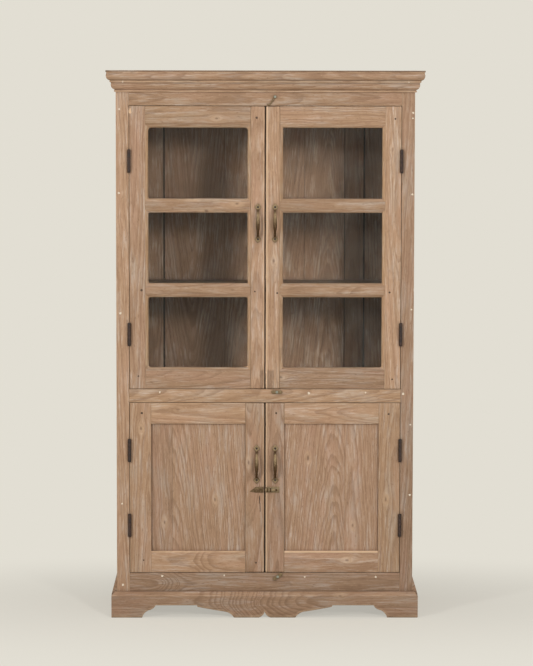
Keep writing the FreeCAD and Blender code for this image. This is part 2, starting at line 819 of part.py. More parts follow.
def turn_button(label, turn, base):
    half = "(button_length - button_width) / 2"
    pieces = [box(label + "_bar", (f"-({half})", half), (button_front, latch_face),
                  ("-button_width / 2", "button_width / 2"))]
    for index, end in enumerate((-1, 1)):
        pieces.append(cylinder(f"{label}_end_{index}", "button_width / 2", "button_thickness",
                               (f"{end} * {half}", latch_face, "0"), forward))
    return pivoted(label, pieces, turn, base)


def top_hook(base):
    eye = cylinder("hook_eye", "hook_eye_radius", "button_thickness", ("0", latch_face, "0"), forward)
    middle_y = "-latch_standoff - button_thickness / 2"
    rise = "hook_shank_length - (hook_eye_radius + latch_screw_radius) / 2"
    shank = cylinder("hook_shank", "hook_shank_radius", rise, ("0", middle_y, "-hook_shank_length"))
    curl = doc.addObject("Part::Torus", "hook_curl")
    curl.setExpression("Radius1", bound("hook_curl_radius"))
    curl.setExpression("Radius2", bound("hook_shank_radius"))
    curl.Angle3 = hook_curl_degrees
    curl.Placement = Placement(Vector(), Rotation(Vector(1, 0, 0), -90))
    for axis, text in zip("xyz", ("-hook_curl_radius", middle_y, "-hook_shank_length")):
        curl.setExpression(f".Placement.Base.{axis}", bound(text))
    return pivoted("top_hook", [eye, shank, curl], hook_turn_degrees, base)


def latches():
    turn_button("waist_button", waist_button_turn_degrees,
                pivot("waist_button_offset", "upper_z - waist_button_drop"))
    turn_button("bottom_button", bottom_button_turn_degrees,
                pivot("bottom_button_offset", "lower_z - bottom_button_drop"))
    top_hook(pivot("hook_offset", "top_rail_z + hook_rise"))
    return node("latch_screws", compound("latch_screws", pivots))


# Slide bolt on the lower doors: plate with two collars, bolt, and keeper on the other door


def collar(name, across, centre_z):
    """A strap over the bolt, open along it."""
    half = "(bolt_width / 2 + bolt_clearance)"
    top = "front_y - bolt_plate_thickness - bolt_thickness - 2 * bolt_clearance"
    outer = box(name + "_outer", across, (f"{top} - collar_wall", "front_y - bolt_plate_thickness"),
                (f"{centre_z} - {half} - collar_wall", f"{centre_z} + {half} + collar_wall"))
    channel = box(name + "_channel", widened(across, "cut_overrun"), (top, "front_y - bolt_plate_thickness"),
                  (f"{centre_z} - {half}", f"{centre_z} + {half}"))
    return cut(name, outer, channel)


def slide_bolt():
    centre_z = "bolt_z"
    plate_along = ("front_y - bolt_plate_thickness", "front_y")
    half = "bolt_plate_width / 2"
    near = "door_near + bolt_plate_inset"
    plate = box("bolt_plate_base", (near, f"{near} + bolt_plate_length"), plate_along,
                (f"{centre_z} - {half}", f"{centre_z} + {half}"))
    collars = []
    for index in range(2):
        low = f"collar_inset + {index} * collar_spacing"
        collars.append(collar(f"bolt_collar_{index}", (low, f"{low} + collar_width"), centre_z))
    node("bolt_plate", fuse("bolt_plate", [plate, *collars]))
    bolt_back = "front_y - bolt_plate_thickness - bolt_clearance"
    bar = box("bolt_bar", ("bolt_end_gap", "bolt_end_gap + bolt_length"),
              (f"{bolt_back} - bolt_thickness", bolt_back),
              (f"{centre_z} - bolt_width / 2", f"{centre_z} + bolt_width / 2"))
    knob = cylinder("bolt_knob", "bolt_knob_radius", "bolt_knob_height",
                    ("bolt_end_gap + bolt_length - bolt_knob_inset - bolt_knob_radius",
                     f"{bolt_back} - bolt_thickness", centre_z), forward)
    node("slide_bolt", fuse("slide_bolt", [bar, knob]))
    keeper(centre_z, near, half)


keeper_taper_share = 0.55


def keeper(centre_z, near, half):
    """A leaf on the left door that tapers to a drooping point, with a strap for the bolt's end."""
    start, reach, wide = -value(near), value("keeper_length"), value(half)
    middle, droop = value(centre_z), value("keeper_droop")
    shoulder = start - reach * keeper_taper_share
    corners = [(start, middle + wide), (shoulder, middle + wide), (start - reach, middle - droop),
               (shoulder, middle - wide), (start, middle - wide)]
    ring = [Vector(x, value("front_y"), z) for x, z in corners]
    thick = Vector(0, -value("bolt_plate_thickness"), 0)
    leaf = shaped("keeper_leaf", Part.Face(Part.makePolygon(ring + ring[:1])).extrude(thick))
    strap = collar("keeper_strap", ("-collar_inset - collar_width", "-collar_inset"), centre_z)
    node("bolt_keeper", fuse("bolt_keeper", [leaf, strap]))


def export():
    doc.recompute()
    failed = [piece.Name for piece in doc.Objects if {"Invalid", "Error"} & set(piece.State)]
    if failed:
        raise RuntimeError("failed objects: " + ", ".join(failed))
    for piece in nodes:
        if piece.Shape.isNull() or not piece.Shape.isValid() or not piece.Shape.Solids:
            raise RuntimeError("bad shape: " + piece.Label)
    os.makedirs("parts", exist_ok=True)
    for piece in nodes:
        piece.Shape.exportStep(f"parts/{piece.Label}.step")
    print(len(nodes), "nodes,", sum(len(piece.Shape.Solids) for piece in nodes), "solids")


pivots = []
fill_sheets()
front_rails, rear_rails = front_and_rear_rails()
panels = side_panels()
rails = side_rails(panels)
boards = back_boards()
post_plates, door_plates = hinges()
post_blanks = posts(front_rails, rear_rails, rails, panels, boards, post_plates)
boards_inside(post_blanks)
cornice()
plinth()
doors(door_plates)
pivot_screws = latches()
for level, rail in front_rails.items():
    node(f"{level}_front_rail", cut(f"{level}_front_rail", rail, pivot_screws))
slide_bolt()
export()
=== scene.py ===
import json
import math
import random
from functools import partial
import bmesh
import bpy
from mathutils import Matrix, Vector, noise


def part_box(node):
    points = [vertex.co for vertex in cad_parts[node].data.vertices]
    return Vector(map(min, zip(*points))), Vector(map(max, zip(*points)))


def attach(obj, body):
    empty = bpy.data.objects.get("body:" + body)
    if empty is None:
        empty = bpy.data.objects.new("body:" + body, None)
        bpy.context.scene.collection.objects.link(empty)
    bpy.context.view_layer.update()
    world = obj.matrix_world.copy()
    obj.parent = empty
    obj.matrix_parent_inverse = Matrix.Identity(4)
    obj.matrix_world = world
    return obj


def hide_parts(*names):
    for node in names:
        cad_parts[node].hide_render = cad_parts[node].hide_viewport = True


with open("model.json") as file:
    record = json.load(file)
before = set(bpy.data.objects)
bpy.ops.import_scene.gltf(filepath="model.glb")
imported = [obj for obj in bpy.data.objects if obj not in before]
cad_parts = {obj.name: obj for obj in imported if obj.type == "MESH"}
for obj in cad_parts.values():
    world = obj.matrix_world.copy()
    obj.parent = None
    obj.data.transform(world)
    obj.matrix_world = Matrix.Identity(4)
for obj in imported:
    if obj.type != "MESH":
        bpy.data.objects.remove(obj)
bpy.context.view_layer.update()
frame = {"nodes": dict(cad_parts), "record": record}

noise.seed_set(1)  # Blender seeds its vector noise from the clock otherwise
mm = 0.001
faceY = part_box("front_left_post")[0].y  # front plane of posts, rails and doors
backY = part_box("rear_right_post")[1].y
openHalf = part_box("front_right_post")[0].x  # from the middle to the posts
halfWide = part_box("front_right_post")[1].x  # to the carcass's side, without mouldings
print("frame loaded:", len(frame["nodes"]), "nodes")


def linear(hexColour):
    channels = [int(hexColour[i:i + 2], 16) / 255 for i in (0, 2, 4)]
    return [c / 12.92 if c <= 0.04045 else ((c + 0.055) / 1.055) ** 2.4 for c in channels] + [1.0]


def feed(node, inputs):
    # an input takes a number or colour, one of a node's outputs, or a node, meaning its first output
    for socket, source in inputs.items():
        if isinstance(source, bpy.types.Node):
            source = source.outputs[0]
        if isinstance(source, bpy.types.NodeSocket):
            node.id_data.links.new(source, node.inputs[socket])
        else:
            node.inputs[socket].default_value = source


def addNode(tree, kind, inputs=None, **settings):
    made = tree.nodes.new(kind)
    for key, setting in settings.items():
        setattr(made, key, setting)
    feed(made, inputs or {})
    return made


def newMaterial(name):
    made = bpy.data.materials.new(name)
    made.use_nodes = True
    return made, partial(addNode, made.node_tree), made.node_tree.nodes["Principled BSDF"]


def finishSurface(add, surface, look, colour, grain, relief):
    # duller where the grain is pale, raised by the relief
    least, spread = look["roughness"]
    strength, highMm = look["bump"]
    rough = add("ShaderNodeMath", {0: grain, 1: spread, 2: least}, operation="MULTIPLY_ADD")
    bump = add("ShaderNodeBump", {"Height": relief, "Strength": strength, "Distance": highMm * mm})
    feed(surface, {"Base Color": colour, "Roughness": rough, "Normal": bump, "Metallic": look.get("metallic", 0.0)})


# Old teak, sawn, planed and waxed, then dusted and rubbed for decades: pinkish tan with soft growth lines, short
# darker fibres, greyed patches and paler rubbed arrises, painted paler still as a highlight on the meeting edges.
# Corners and recesses are painted darker as shade that stands also for grime, and the boards darker towards the
# floor, painted shade with grime from feet. Sizes are along and across the board; real fibres and pores are a few
# tenths of a mm wide and wouldn't show, so they are drawn coarser
teakLooks = {
    "weatheredTeak": {
        "dark": "8A6A52", "heart": "A7876C", "bleached": "FFFFFF", "pink": "B18A73", "greyed": "9D8974",
        "line": "77583F", "grime": "4A382B", "rubbed": "CBAC8C", "yellowed": "B5925F", "knot": "5E4433",
        "fibresMm": (65, 4.0), "streaksMm": (420, 14), "patchesMm": (130, 45), "flecksMm": (16, 4),
        "poresMm": (20, 1.5), "blushMm": (300, 50), "ringMm": 9.0, "swayMm": 9, "curlMm": 5, "knotMm": 9,
        "taper": 0.84, "patchShare": 0.3, "ringShare": 0.46, "footGrime": 0.14,
        "roughness": (0.47, 0.3), "bump": (0.3, 1.5),
    },
    # the darker copy of the teak for the inside of the case: painted shade of the dim inside, and wood that has
    # darkened there
    "paintedShadeTeak": {
        "dark": "705847", "heart": "876D5A", "bleached": "FFFFFF", "pink": "886A58", "greyed": "826D5D",
        "line": "4C3728", "grime": "241B15", "rubbed": "8E735E", "yellowed": "876A4B", "knot": "3C2B1F",
        "fibresMm": (80, 4.0), "streaksMm": (480, 16), "patchesMm": (130, 65), "flecksMm": (20, 5),
        "poresMm": (24, 1.6), "blushMm": (700, 50), "ringMm": 10.0, "swayMm": 10, "curlMm": 8, "knotMm": 11,
        "taper": 0.6, "patchShare": 0.45, "ringShare": 0.45, "footGrime": 0.0,
        "roughness": (0.57, 0.3), "bump": (0.25, 1.5),
    },
}
# what both teaks share
teakHabits = {
    "wanderMm": (240, 60), "curlWaveMm": (40, 30), "eyeMm": (6.5, 3.5), "eyeRaggedMm": 4, "cornerMm": 12,
    "haloSpread": 0.45, "ghostEdge": (1.1, 0.85), "ringUneven": (0.37, 3.0), "ringRise": (0.2, 0.9),
    "streakShare": 0.35, "figureBolder": 0.6, "toneStep": 0.1, "ringDip": -0.35, "poreDip": -0.4, "shine": 0.3,
    "stops": ((0.32, "dark"), (0.50, "heart"), (1.0, "bleached")),  # the palest fibres get half way to the last
    # detail and roughness of each noise
    "clouds": {"fibres": (4.0, 0.66), "streaks": (3.0, 0.6), "patches": (4.0, 0.62), "flecks": (2.0, 0.6),
               "pores": (1.0, 0.5), "blush": (2.0, 0.5)},
    # what drives each wash, from where to where it comes in, how much at most, and its colour
    "washes": (
        ("blush", 0.45, 0.70, 0.4, "pink"), ("patches", 0.50, 0.72, 0.5, "greyed"),
        ("warmth", 0.0, 1.0, 0.45, "yellowed"), ("lines", 0.1, 0.6, "ringShare", "line"),
        ("pores", 0.62, 0.74, 0.25, "line"), ("flecks", 0.60, 0.70, 0.45, "line"),
        ("flecks", 0.36, 0.28, 0.3, "rubbed"), ("rim", 0.25, 0.5, 0.35, "rubbed"), ("eye", 0.0, 1.0, 0.65, "knot"),
        ("halo", 0.0, 0.6, 0.4, "grime"), ("ghost", 0.0, 0.5, 0.42, "grime"),
        # darker towards the floor: painted shade of the light falling off downward, and grime from feet
        ("height", 0.8, 0.0, "footGrime", "grime"), ("corner", 0.9, 0.3, 0.55, "grime"),
        ("rub", 0.2, 0.5, 0.75, "rubbed")),
}
# what each point of a board tells the shader
timberMarks = {"grain": "Vector", "knot": "Vector", "figure": "Vector", "halo": "Vector", "ghost": "Vector",
               "tone": "Fac", "warmth": "Fac", "wear": "Fac"}


def perMetre(alongMm, acrossMm):
    return 1 / (alongMm * mm), 1 / (acrossMm * mm), 1 / (acrossMm * mm)


def makeTeak(name, look):
    made, add, surface = newMaterial(name)
    habits = teakHabits
    marks = {label: add("ShaderNodeAttribute", attribute_name=label).outputs[kind]
             for label, kind in timberMarks.items()}

    def sideways(sizeMm, reachMm, **texture):  # noise that pushes points across the board
        spread = add("ShaderNodeVectorMath", {0: marks["grain"], 1: perMetre(*sizeMm)}, operation="MULTIPLY")
        cloud = add("ShaderNodeTexNoise", {"Vector": spread, "Scale": 1.0, **texture}).outputs["Color"]
        reach = reachMm * mm
        return add("ShaderNodeVectorMath", {0: cloud, 1: (0, 2 * reach, 2 * reach), 2: (0, -reach, -reach)},
                   operation="MULTIPLY_ADD")

    # the grain wanders: all below is drawn on coordinates pushed a few mm; x runs with the board
    shift = sideways(habits["wanderMm"], look["swayMm"], Detail=3.0, Roughness=0.55)
    warped = add("ShaderNodeVectorMath", {0: marks["grain"], 1: shift}, operation="ADD")
    # figured boards curl besides, in shorter waves; the figure's vector is how much, the way along from its
    # middle in reaches, and the reach
    most, place, reach = add("ShaderNodeSeparateXYZ", {0: marks["figure"]}).outputs
    climb = add("ShaderNodeMath", {0: place}, operation="TANH")
    figure = add("ShaderNodeMath", {0: climb, 1: climb}, operation="MULTIPLY")
    figure = add("ShaderNodeMath", {0: figure, 1: -1.0, 2: 1.0}, operation="MULTIPLY_ADD")
    figure = add("ShaderNodeMath", {0: figure, 1: most}, operation="MULTIPLY")
    waves = sideways(habits["curlWaveMm"], look["curlMm"], Detail=1.5)
    waves = add("ShaderNodeVectorMath", {0: waves, "Scale": figure}, operation="SCALE")
    warped = add("ShaderNodeVectorMath", {0: warped, 1: waves}, operation="ADD")
    # the grain parts round a knot as water does round a stone; the knot's vector is along, across, how strong
    strength = add("ShaderNodeSeparateXYZ", {0: marks["knot"]}).outputs[2]
    knot = add("ShaderNodeVectorMath", {0: shift, 1: (0, 0.5, 0), 2: marks["knot"]}, operation="MULTIPLY_ADD")
    away = add("ShaderNodeVectorMath", {0: knot, 1: (0.5, 1, 0)}, operation="MULTIPLY")
    away = add("ShaderNodeVectorMath", {0: away}, operation="LENGTH").outputs["Value"]
    nearness = add("ShaderNodeMath", {0: away, 1: look["knotMm"] * mm}, operation="MAXIMUM")
    nearness = add("ShaderNodeMath", {0: look["knotMm"] * mm, 1: nearness}, operation="DIVIDE")
    parting = add("ShaderNodeMath", {0: nearness, 1: 2.0}, operation="POWER")
    parting = add("ShaderNodeMath", {0: parting, 1: strength}, operation="MULTIPLY")
    aside = add("ShaderNodeVectorMath", {0: knot, 1: (0, 1, 0)}, operation="MULTIPLY")
    aside = add("ShaderNodeVectorMath", {0: aside, "Scale": parting}, operation="SCALE")
    warped = add("ShaderNodeVectorMath", {0: warped, 1: aside}, operation="SUBTRACT")
    clouds = {}
    for label, (detail, rough) in habits["clouds"].items():
        spread = add("ShaderNodeVectorMath", {0: warped, 1: perMetre(*look[label + "Mm"])}, operation="MULTIPLY")
        clouds[label] = add("ShaderNodeTexNoise", {"Vector": spread, "Scale": 1.0, "Detail": detail,
                                                   "Roughness": rough})

    # the knot's eye, ragged as the fibres are
    ragged = add("ShaderNodeMath", {0: clouds["flecks"], 1: habits["eyeRaggedMm"] * mm, 2: away},
                 operation="MULTIPLY_ADD")
    outer, inner = (size * mm for size in habits["eyeMm"])
    eye = add("ShaderNodeMapRange", {0: ragged, 1: outer, 2: inner})
    eye = add("ShaderNodeMath", {0: eye, 1: strength}, operation="MULTIPLY")
    # a dark ring round each pull: across and along in ring sizes, and how strong
    haloMost = add("ShaderNodeSeparateXYZ", {0: marks["halo"]}).outputs[2]
    halo = add("ShaderNodeVectorMath", {0: marks["halo"], 1: (1, 1, 0)}, operation="MULTIPLY")
    halo = add("ShaderNodeVectorMath", {0: halo}, operation="LENGTH").outputs["Value"]
    halo = add("ShaderNodeMath", {0: halo, 1: 1.0}, operation="SUBTRACT")
    halo = add("ShaderNodeMath", {0: halo}, operation="ABSOLUTE")
    halo = add("ShaderNodeMapRange", {0: halo, 1: habits["haloSpread"], 2: 0.0})
    # the grey ghost of a lost hasp, the same way
    ghost = add("ShaderNodeVectorMath", {0: marks["ghost"]}, operation="ABSOLUTE")
    across, along, ghostMost = add("ShaderNodeSeparateXYZ", {0: ghost}).outputs
    ghost = add("ShaderNodeMath", {0: across, 1: along}, operation="MAXIMUM")
    ghost = add("ShaderNodeMapRange", {0: ghost, 1: habits["ghostEdge"][0], 2: habits["ghostEdge"][1]})

    # growth rings about the pith: pale early wood that darkens to a line, then starts again; the trunk tapers,
    # most in figured boards, so the rings run out on the face as nested arches
    flat = add("ShaderNodeVectorMath", {0: warped, 1: (0, 1, 1)}, operation="MULTIPLY")
    radius = add("ShaderNodeVectorMath", {0: flat}, operation="LENGTH").outputs["Value"]
    rise = add("ShaderNodeMath", {0: climb, 1: reach}, operation="MULTIPLY")
    rise = add("ShaderNodeMath", {0: rise, 1: most}, operation="MULTIPLY")
    radius = add("ShaderNodeMath", {0: rise, 1: look["taper"], 2: radius}, operation="MULTIPLY_ADD")
    radius = add("ShaderNodeMath", {0: radius, 1: 1 / (look["ringMm"] * mm)}, operation="MULTIPLY")
    often, amount = habits["ringUneven"]
    uneven = add("ShaderNodeTexNoise", {"W": radius, "Scale": often, "Detail": 1.0}, noise_dimensions="1D")
    radius = add("ShaderNodeMath", {0: uneven, 1: amount, 2: radius}, operation="MULTIPLY_ADD")
    part = add("ShaderNodeMath", {0: radius}, operation="FRACT")
    start, full = habits["ringRise"]
    rings = add("ShaderNodeMapRange", {0: part, 1: start, 2: full}, interpolation_type="SMOOTHSTEP")
    close = add("ShaderNodeMapRange", {0: part, 1: 1.0, 2: full})
    rings = add("ShaderNodeMath", {0: rings, 1: close}, operation="MULTIPLY")
    bolder = add("ShaderNodeMath", {0: figure, 1: habits["figureBolder"], 2: 1.0}, operation="MULTIPLY_ADD")

    paleness = add("ShaderNodeMix", {0: habits["streakShare"], 2: clouds["fibres"], 3: clouds["streaks"]},
                   data_type="FLOAT")
    paleness = add("ShaderNodeMix", {0: look["patchShare"], 2: paleness, 3: clouds["patches"]}, data_type="FLOAT")
    ramp = add("ShaderNodeValToRGB", {0: paleness})
    ramp.color_ramp.elements.new(0.5)
    for stop, (position, tint) in zip(ramp.color_ramp.elements, habits["stops"]):
        stop.position, stop.color = position, linear(look[tint])
    colour = ramp.outputs[0]

    objectPlace = add("ShaderNodeTexCoord").outputs["Object"]
    drives = {
        **clouds, "warmth": marks["warmth"], "eye": eye,
        "height": add("ShaderNodeSeparateXYZ", {0: objectPlace}).outputs[2],
        # darker in corners and recesses by ambient occlusion: painted shade, which stands also for grime
        "corner": add("ShaderNodeAmbientOcclusion", {"Distance": habits["cornerMm"] * mm}, samples=6).outputs["AO"],
        "rub": add("ShaderNodeMath", {0: marks["wear"], 1: clouds["fibres"]}, operation="MULTIPLY"),
    }
    for label, shape, cloud, share in (("lines", rings, "streaks", bolder), ("rim", nearness, "flecks", strength),
                                       ("halo", halo, "fibres", haloMost), ("ghost", ghost, "flecks", ghostMost)):
        broken = add("ShaderNodeMath", {0: shape, 1: clouds[cloud]}, operation="MULTIPLY")
        drives[label] = add("ShaderNodeMath", {0: broken, 1: share}, operation="MULTIPLY")
    for label, low, high, share, tint in habits["washes"]:
        amount = add("ShaderNodeMapRange", {0: drives[label], 1: low, 2: high, 4: look.get(share, share)})
        colour = add("ShaderNodeMix", {0: amount, 6: colour, 7: linear(look[tint])}, data_type="RGBA").outputs[2]
    brighter = add("ShaderNodeMath", {0: marks["tone"], 1: habits["toneStep"], 2: 1.0}, operation="MULTIPLY_ADD")
    colour = add("ShaderNodeVectorMath", {0: colour, "Scale": brighter}, operation="SCALE")

    relief = add("ShaderNodeMath", {0: rings, 1: habits["ringDip"], 2: clouds["fibres"]}, operation="MULTIPLY_ADD")
    relief = add("ShaderNodeMath", {0: clouds["pores"], 1: habits["poreDip"], 2: relief}, operation="MULTIPLY_ADD")
    finishSurface(add, surface, look, colour, clouds["fibres"], relief)
    surface.inputs["Specular IOR Level"].default_value = habits["shine"]
    return made


teak = {name: makeTeak(name, look) for name, look in teakLooks.items()}


# Cast brass left to tarnish: brown-gold where hands polish it, umber below, green-grey in the hollows. On the pulls
# the pale upper grip is also a painted reflection of the light above, and the umber below painted shade where it
# faces down
brassLook = {"gold": "9A8564", "umber": "4A3216", "greyed": "857A62", "grainMm": 6, "darkening": (0.40, 1.30),
             "hollowMm": 6, "hollowShare": 0.7, "roughness": (0.43, 0.35), "bump": (0.25, 0.6), "metallic": 0.5}


def makeBrass():
    made, add, surface = newMaterial("tarnishedBrass")
    patinaAndPaintedLight = add("ShaderNodeAttribute", attribute_name="patinaAndPaintedLight").outputs["Fac"]
    mottle = add("ShaderNodeTexNoise", {"Vector": add("ShaderNodeTexCoord").outputs["Object"], "Detail": 4.0,
                                        "Scale": 1 / (brassLook["grainMm"] * mm), "Roughness": 0.65})
    darkness = add("ShaderNodeMath", {0: mottle, 1: patinaAndPaintedLight}, operation="ADD")
    start, full = brassLook["darkening"]
    darkness = add("ShaderNodeMapRange", {0: darkness, 1: start, 2: full})
    colour = add("ShaderNodeMix", {0: darkness, 6: linear(brassLook["gold"]), 7: linear(brassLook["umber"])},
                 data_type="RGBA")
    hollow = add("ShaderNodeAmbientOcclusion", {"Distance": brassLook["hollowMm"] * mm}, samples=6)
    hollow = add("ShaderNodeMapRange", {0: hollow.outputs["AO"], 1: 0.9, 2: 0.4, 4: brassLook["hollowShare"]})
    colour = add("ShaderNodeMix", {0: hollow, 6: colour.outputs[2], 7: linear(brassLook["greyed"])},
                 data_type="RGBA")
    finishSurface(add, surface, brassLook, colour.outputs[2], mottle, mottle)
    return made


# Wrought iron gone dark with oil and old rust: brown-black, dull, a little redder in blotches
ironLook = {"black": "2C2523", "rust": "4A342A", "bare": "8F9184", "blotchMm": 9, "rusting": (0.42, 0.66),
            "roughness": (0.45, 0.3), "bump": (0.4, 0.6), "metallic": 0.4}


def makeIron():
    made, add, surface = newMaterial("oiledIron")
    blotch = add("ShaderNodeTexNoise", {"Vector": add("ShaderNodeTexCoord").outputs["Object"], "Detail": 5.0,
                                        "Scale": 1 / (ironLook["blotchMm"] * mm), "Roughness": 0.7})
    start, full = ironLook["rusting"]
    amount = add("ShaderNodeMapRange", {0: blotch, 1: start, 2: full})
    colour = add("ShaderNodeMix", {0: amount, 6: linear(ironLook["black"]), 7: linear(ironLook["rust"])},
                 data_type="RGBA")
    bright = add("ShaderNodeAttribute", attribute_name="bright").outputs["Fac"]  # screws turned bare
    colour = add("ShaderNodeMix", {0: bright, 6: colour.outputs[2], 7: linear(ironLook["bare"])}, data_type="RGBA")
    finishSurface(add, surface, ironLook, colour.outputs[2], blotch, blotch)
    return made


# Drawn window glass, old: clear, barely tinted, a thin film of dust, thicker on the right-hand panes. The IOR is
# under glass's own 1.5, because dust and grease dull the shine
glassLook = {"tint": "E8E6E0", "dust": "9A958E", "dustShare": 0.03, "cloudMm": 90, "clouding": (0.38, 0.75),
             "leftShare": 0.4, "changeMm": 100, "roughness": 0.02, "ior": 1.25}


def makeGlass():
    made, add, surface = newMaterial("drawnGlass")
    feed(surface, {"Base Color": linear(glassLook["tint"]), "Roughness": glassLook["roughness"],
                   "IOR": glassLook["ior"], "Transmission Weight": 1.0})
    place = add("ShaderNodeTexCoord").outputs["Object"]
    cloud = add("ShaderNodeTexNoise", {"Vector": place, "Scale": 1 / (glassLook["cloudMm"] * mm), "Detail": 4.0,
                                       "Roughness": 0.6})
    start, full = glassLook["clouding"]
    film = add("ShaderNodeMapRange", {0: cloud, 1: start, 2: full, 4: 2 * glassLook["dustShare"]})
    side = add("ShaderNodeSeparateXYZ", {0: place}).outputs[0]
    change = glassLook["changeMm"] * mm
    byPane = add("ShaderNodeMapRange", {0: side, 1: -change, 2: change, 3: glassLook["leftShare"]})
    film = add("ShaderNodeMath", {0: film, 1: byPane}, operation="MULTIPLY")
    dust = add("ShaderNodeBsdfDiffuse", {0: linear(glassLook["dust"])})
    dusty = add("ShaderNodeMixShader", {0: film, 1: surface, 2: dust})
    clear = add("ShaderNodeBsdfTransparent", {0: linear(glassLook["tint"])})
    rays = add("ShaderNodeLightPath")  # lamps shine through to the shelves
    mixed = add("ShaderNodeMixShader", {0: rays.outputs["Is Shadow Ray"], 1: dusty, 2: clear})
    feed(made.node_tree.nodes["Material Output"], {0: mixed})
    return made


# Whiting putty in nail holes, dry and chalky; dark end grain on the draw pegs; pale raw wood where a splinter went
fillings = {
    "chalkPutty": {"pale": "E6DCCB", "dark": "C9B79E", "speckMm": 2.5, "roughness": (0.8, 0.2), "bump": (0.3, 0.4)},
    "pegEndGrain": {"pale": "5B4535", "dark": "3A2A1F", "speckMm": 1.6, "roughness": (0.7, 0.2), "bump": (0.3, 0.4)},
    "rawSplinter": {"pale": "DDBE9C", "dark": "C39F7C", "speckMm": 2.0, "roughness": (0.75, 0.2), "bump": (0.3, 0.4)},
}


def makeFilling(name, look):
    made, add, surface = newMaterial(name)
    speck = add("ShaderNodeTexNoise", {"Vector": add("ShaderNodeTexCoord").outputs["Object"],
                                       "Scale": 1 / (look["speckMm"] * mm), "Detail": 3.0})
    colour = add("ShaderNodeMix", {0: speck, 6: linear(look["pale"]), 7: linear(look["dark"])}, data_type="RGBA")
    finishSurface(add, surface, look, colour.outputs[2], speck, speck)
    return made


brass, iron, glass = makeBrass(), makeIron(), makeGlass()
filling = {name: makeFilling(name, look) for name, look in fillings.items()}
print("finishes made")


# dark marks on the meeting stiles, a ring round each pull and a lost hasp's ghost: x, z, half width and half height
# in mm
darkMarks = {
    "halo": {"upper_left_meeting_stile": (-24, 1303, 16, 52), "upper_right_meeting_stile": (32, 1303, 16, 52),
             "lower_left_meeting_stile": (-27, 508, 16, 52), "lower_right_meeting_stile": (34, 508, 16, 52)},
    "ghost": {"upper_left_meeting_stile": (-9, 787, 7, 34), "upper_right_meeting_stile": (17, 787, 13, 34)},
}
# knots seen on the front by board, x and z in mm; any other board may have one by chance
knotSpots = {"upper_left rail 3": (-159, 1645), "lower_right_hinge_stile": (399, 393),
             "lower_right rail 0": (271, 189), "lower_left panel a": (-331, 314), "lower_left panel b": (-164, 389),
             "lower_right panel a": (142, 528), "lower_left_hinge_stile": (-408, 628)}
# how much a board's grain curls, 0 being straight, then in mm where along the board and how far to each side
figures = {"plinth front": (1.0, -61, 120), "bottom_front_rail": (0.9, -303, 40),
           "lower_left rail 0": (0.5, -204, 35), "top_front_rail": (0.12, 0, 3000),
           "middle_front_rail": (0.15, 0, 3000), "lower_left panel b": (0.12, 0, 3000),
           "lower_right panel a": (0.12, 0, 3000), "back_boards 1": (0.2, 0, 3000), "back_boards 2": (0.2, 0, 3000),
           "back_boards 3": (0.25, 0, 3000), "back_boards 4": (0.2, 0, 3000)}
toneSlopes = {"front_right_post": 1.0}  # boards that get paler upwards, in tones per metre: painted shade where the light falls off downward, and dirt lower down
# how boards differ by chance: where the pith lies, how the log leaned, tint and knots
timberOdds = {"figure": (0.05, 0, 3000), "pithShare": 0.6, "figurePith": 0.75, "pithDeepMm": (6, 50), "lean": 0.06,
              "tone": 0.4, "warmth": (0.2, 0.2), "knot": 0.3, "knotStrength": (0.4, 1), "seenKnot": 0.9}


def timberBmesh():
    bm = bmesh.new()
    for label, kind in timberMarks.items():
        (bm.verts.layers.float_vector if kind == "Vector" else bm.verts.layers.float).new(label)
    return bm


def boxOf(verts):
    return (Vector([min(vert.co[axis] for vert in verts) for axis in range(3)]),
            Vector([max(vert.co[axis] for vert in verts) for axis in range(3)]))


def dressTimber(bm, grainAxis, key, look=(None, None)):
    # one board: where each point lies along, across and through the log, and the board's own tint
    rng = random.Random(key)
    vectors, floats = bm.verts.layers.float_vector, bm.verts.layers.float
    low, high = boxOf(bm.verts)
    size, centre = high - low, (low + high) / 2
    wide, thin = sorted((axis for axis in range(3) if axis != grainAxis), key=lambda axis: -size[axis])
    start = rng.uniform(0, 9)
    figure, figureMm, reachMm = figures.get(key, timberOdds["figure"])
    share, most = timberOdds["pithShare"], timberOdds["lean"]
    pithAcross = rng.uniform(-share, share) * size[wide] * (1 - timberOdds["figurePith"] * figure)
    near, far = (deep * mm for deep in timberOdds["pithDeepMm"])
    pithDeep = rng.choice((-1, 1)) * (size[thin] / 2 + rng.uniform(near, far))
    lean = rng.uniform(-most, most)
    tone = rng.gauss(0, timberOdds["tone"]) if look[0] is None else look[0]
    warmth = min(1, max(0, rng.gauss(*timberOdds["warmth"]))) if look[1] is None else look[1]
    spot = [rng.uniform(a, b) for a, b in zip(low, high)]
    strength = rng.uniform(*timberOdds["knotStrength"]) if rng.random() < timberOdds["knot"] else 0.0
    upward = rng.choice((-1, 1))
    if key in knotSpots:
        x, z = knotSpots[key]
        spot, strength = (x * mm, centre.y, z * mm), timberOdds["seenKnot"]
    for vert in bm.verts:
        local = vert.co - centre
        along = local[grainAxis]
        vert[vectors["grain"]] = (upward * along + start, local[wide] - pithAcross,
                                  local[thin] - pithDeep + lean * along)
        vert[floats["tone"]] = tone + toneSlopes.get(key, 0) * along
        vert[floats["warmth"]] = warmth
        place = upward * (vert.co[grainAxis] - figureMm * mm) / (reachMm * mm)
        vert[vectors["figure"]] = (figure, place, reachMm * mm)
        for label, spots in darkMarks.items():
            x, z, wideMm, tallMm = spots.get(key, (0, 0, 1, 1))
            vert[vectors[label]] = ((vert.co.x / mm - x) / wideMm, (vert.co.z / mm - z) / tallMm,
                                    float(key in spots))
        vert[vectors["knot"]] = (vert.co[grainAxis] - spot[grainAxis], vert.co[wide] - spot[wide], strength)


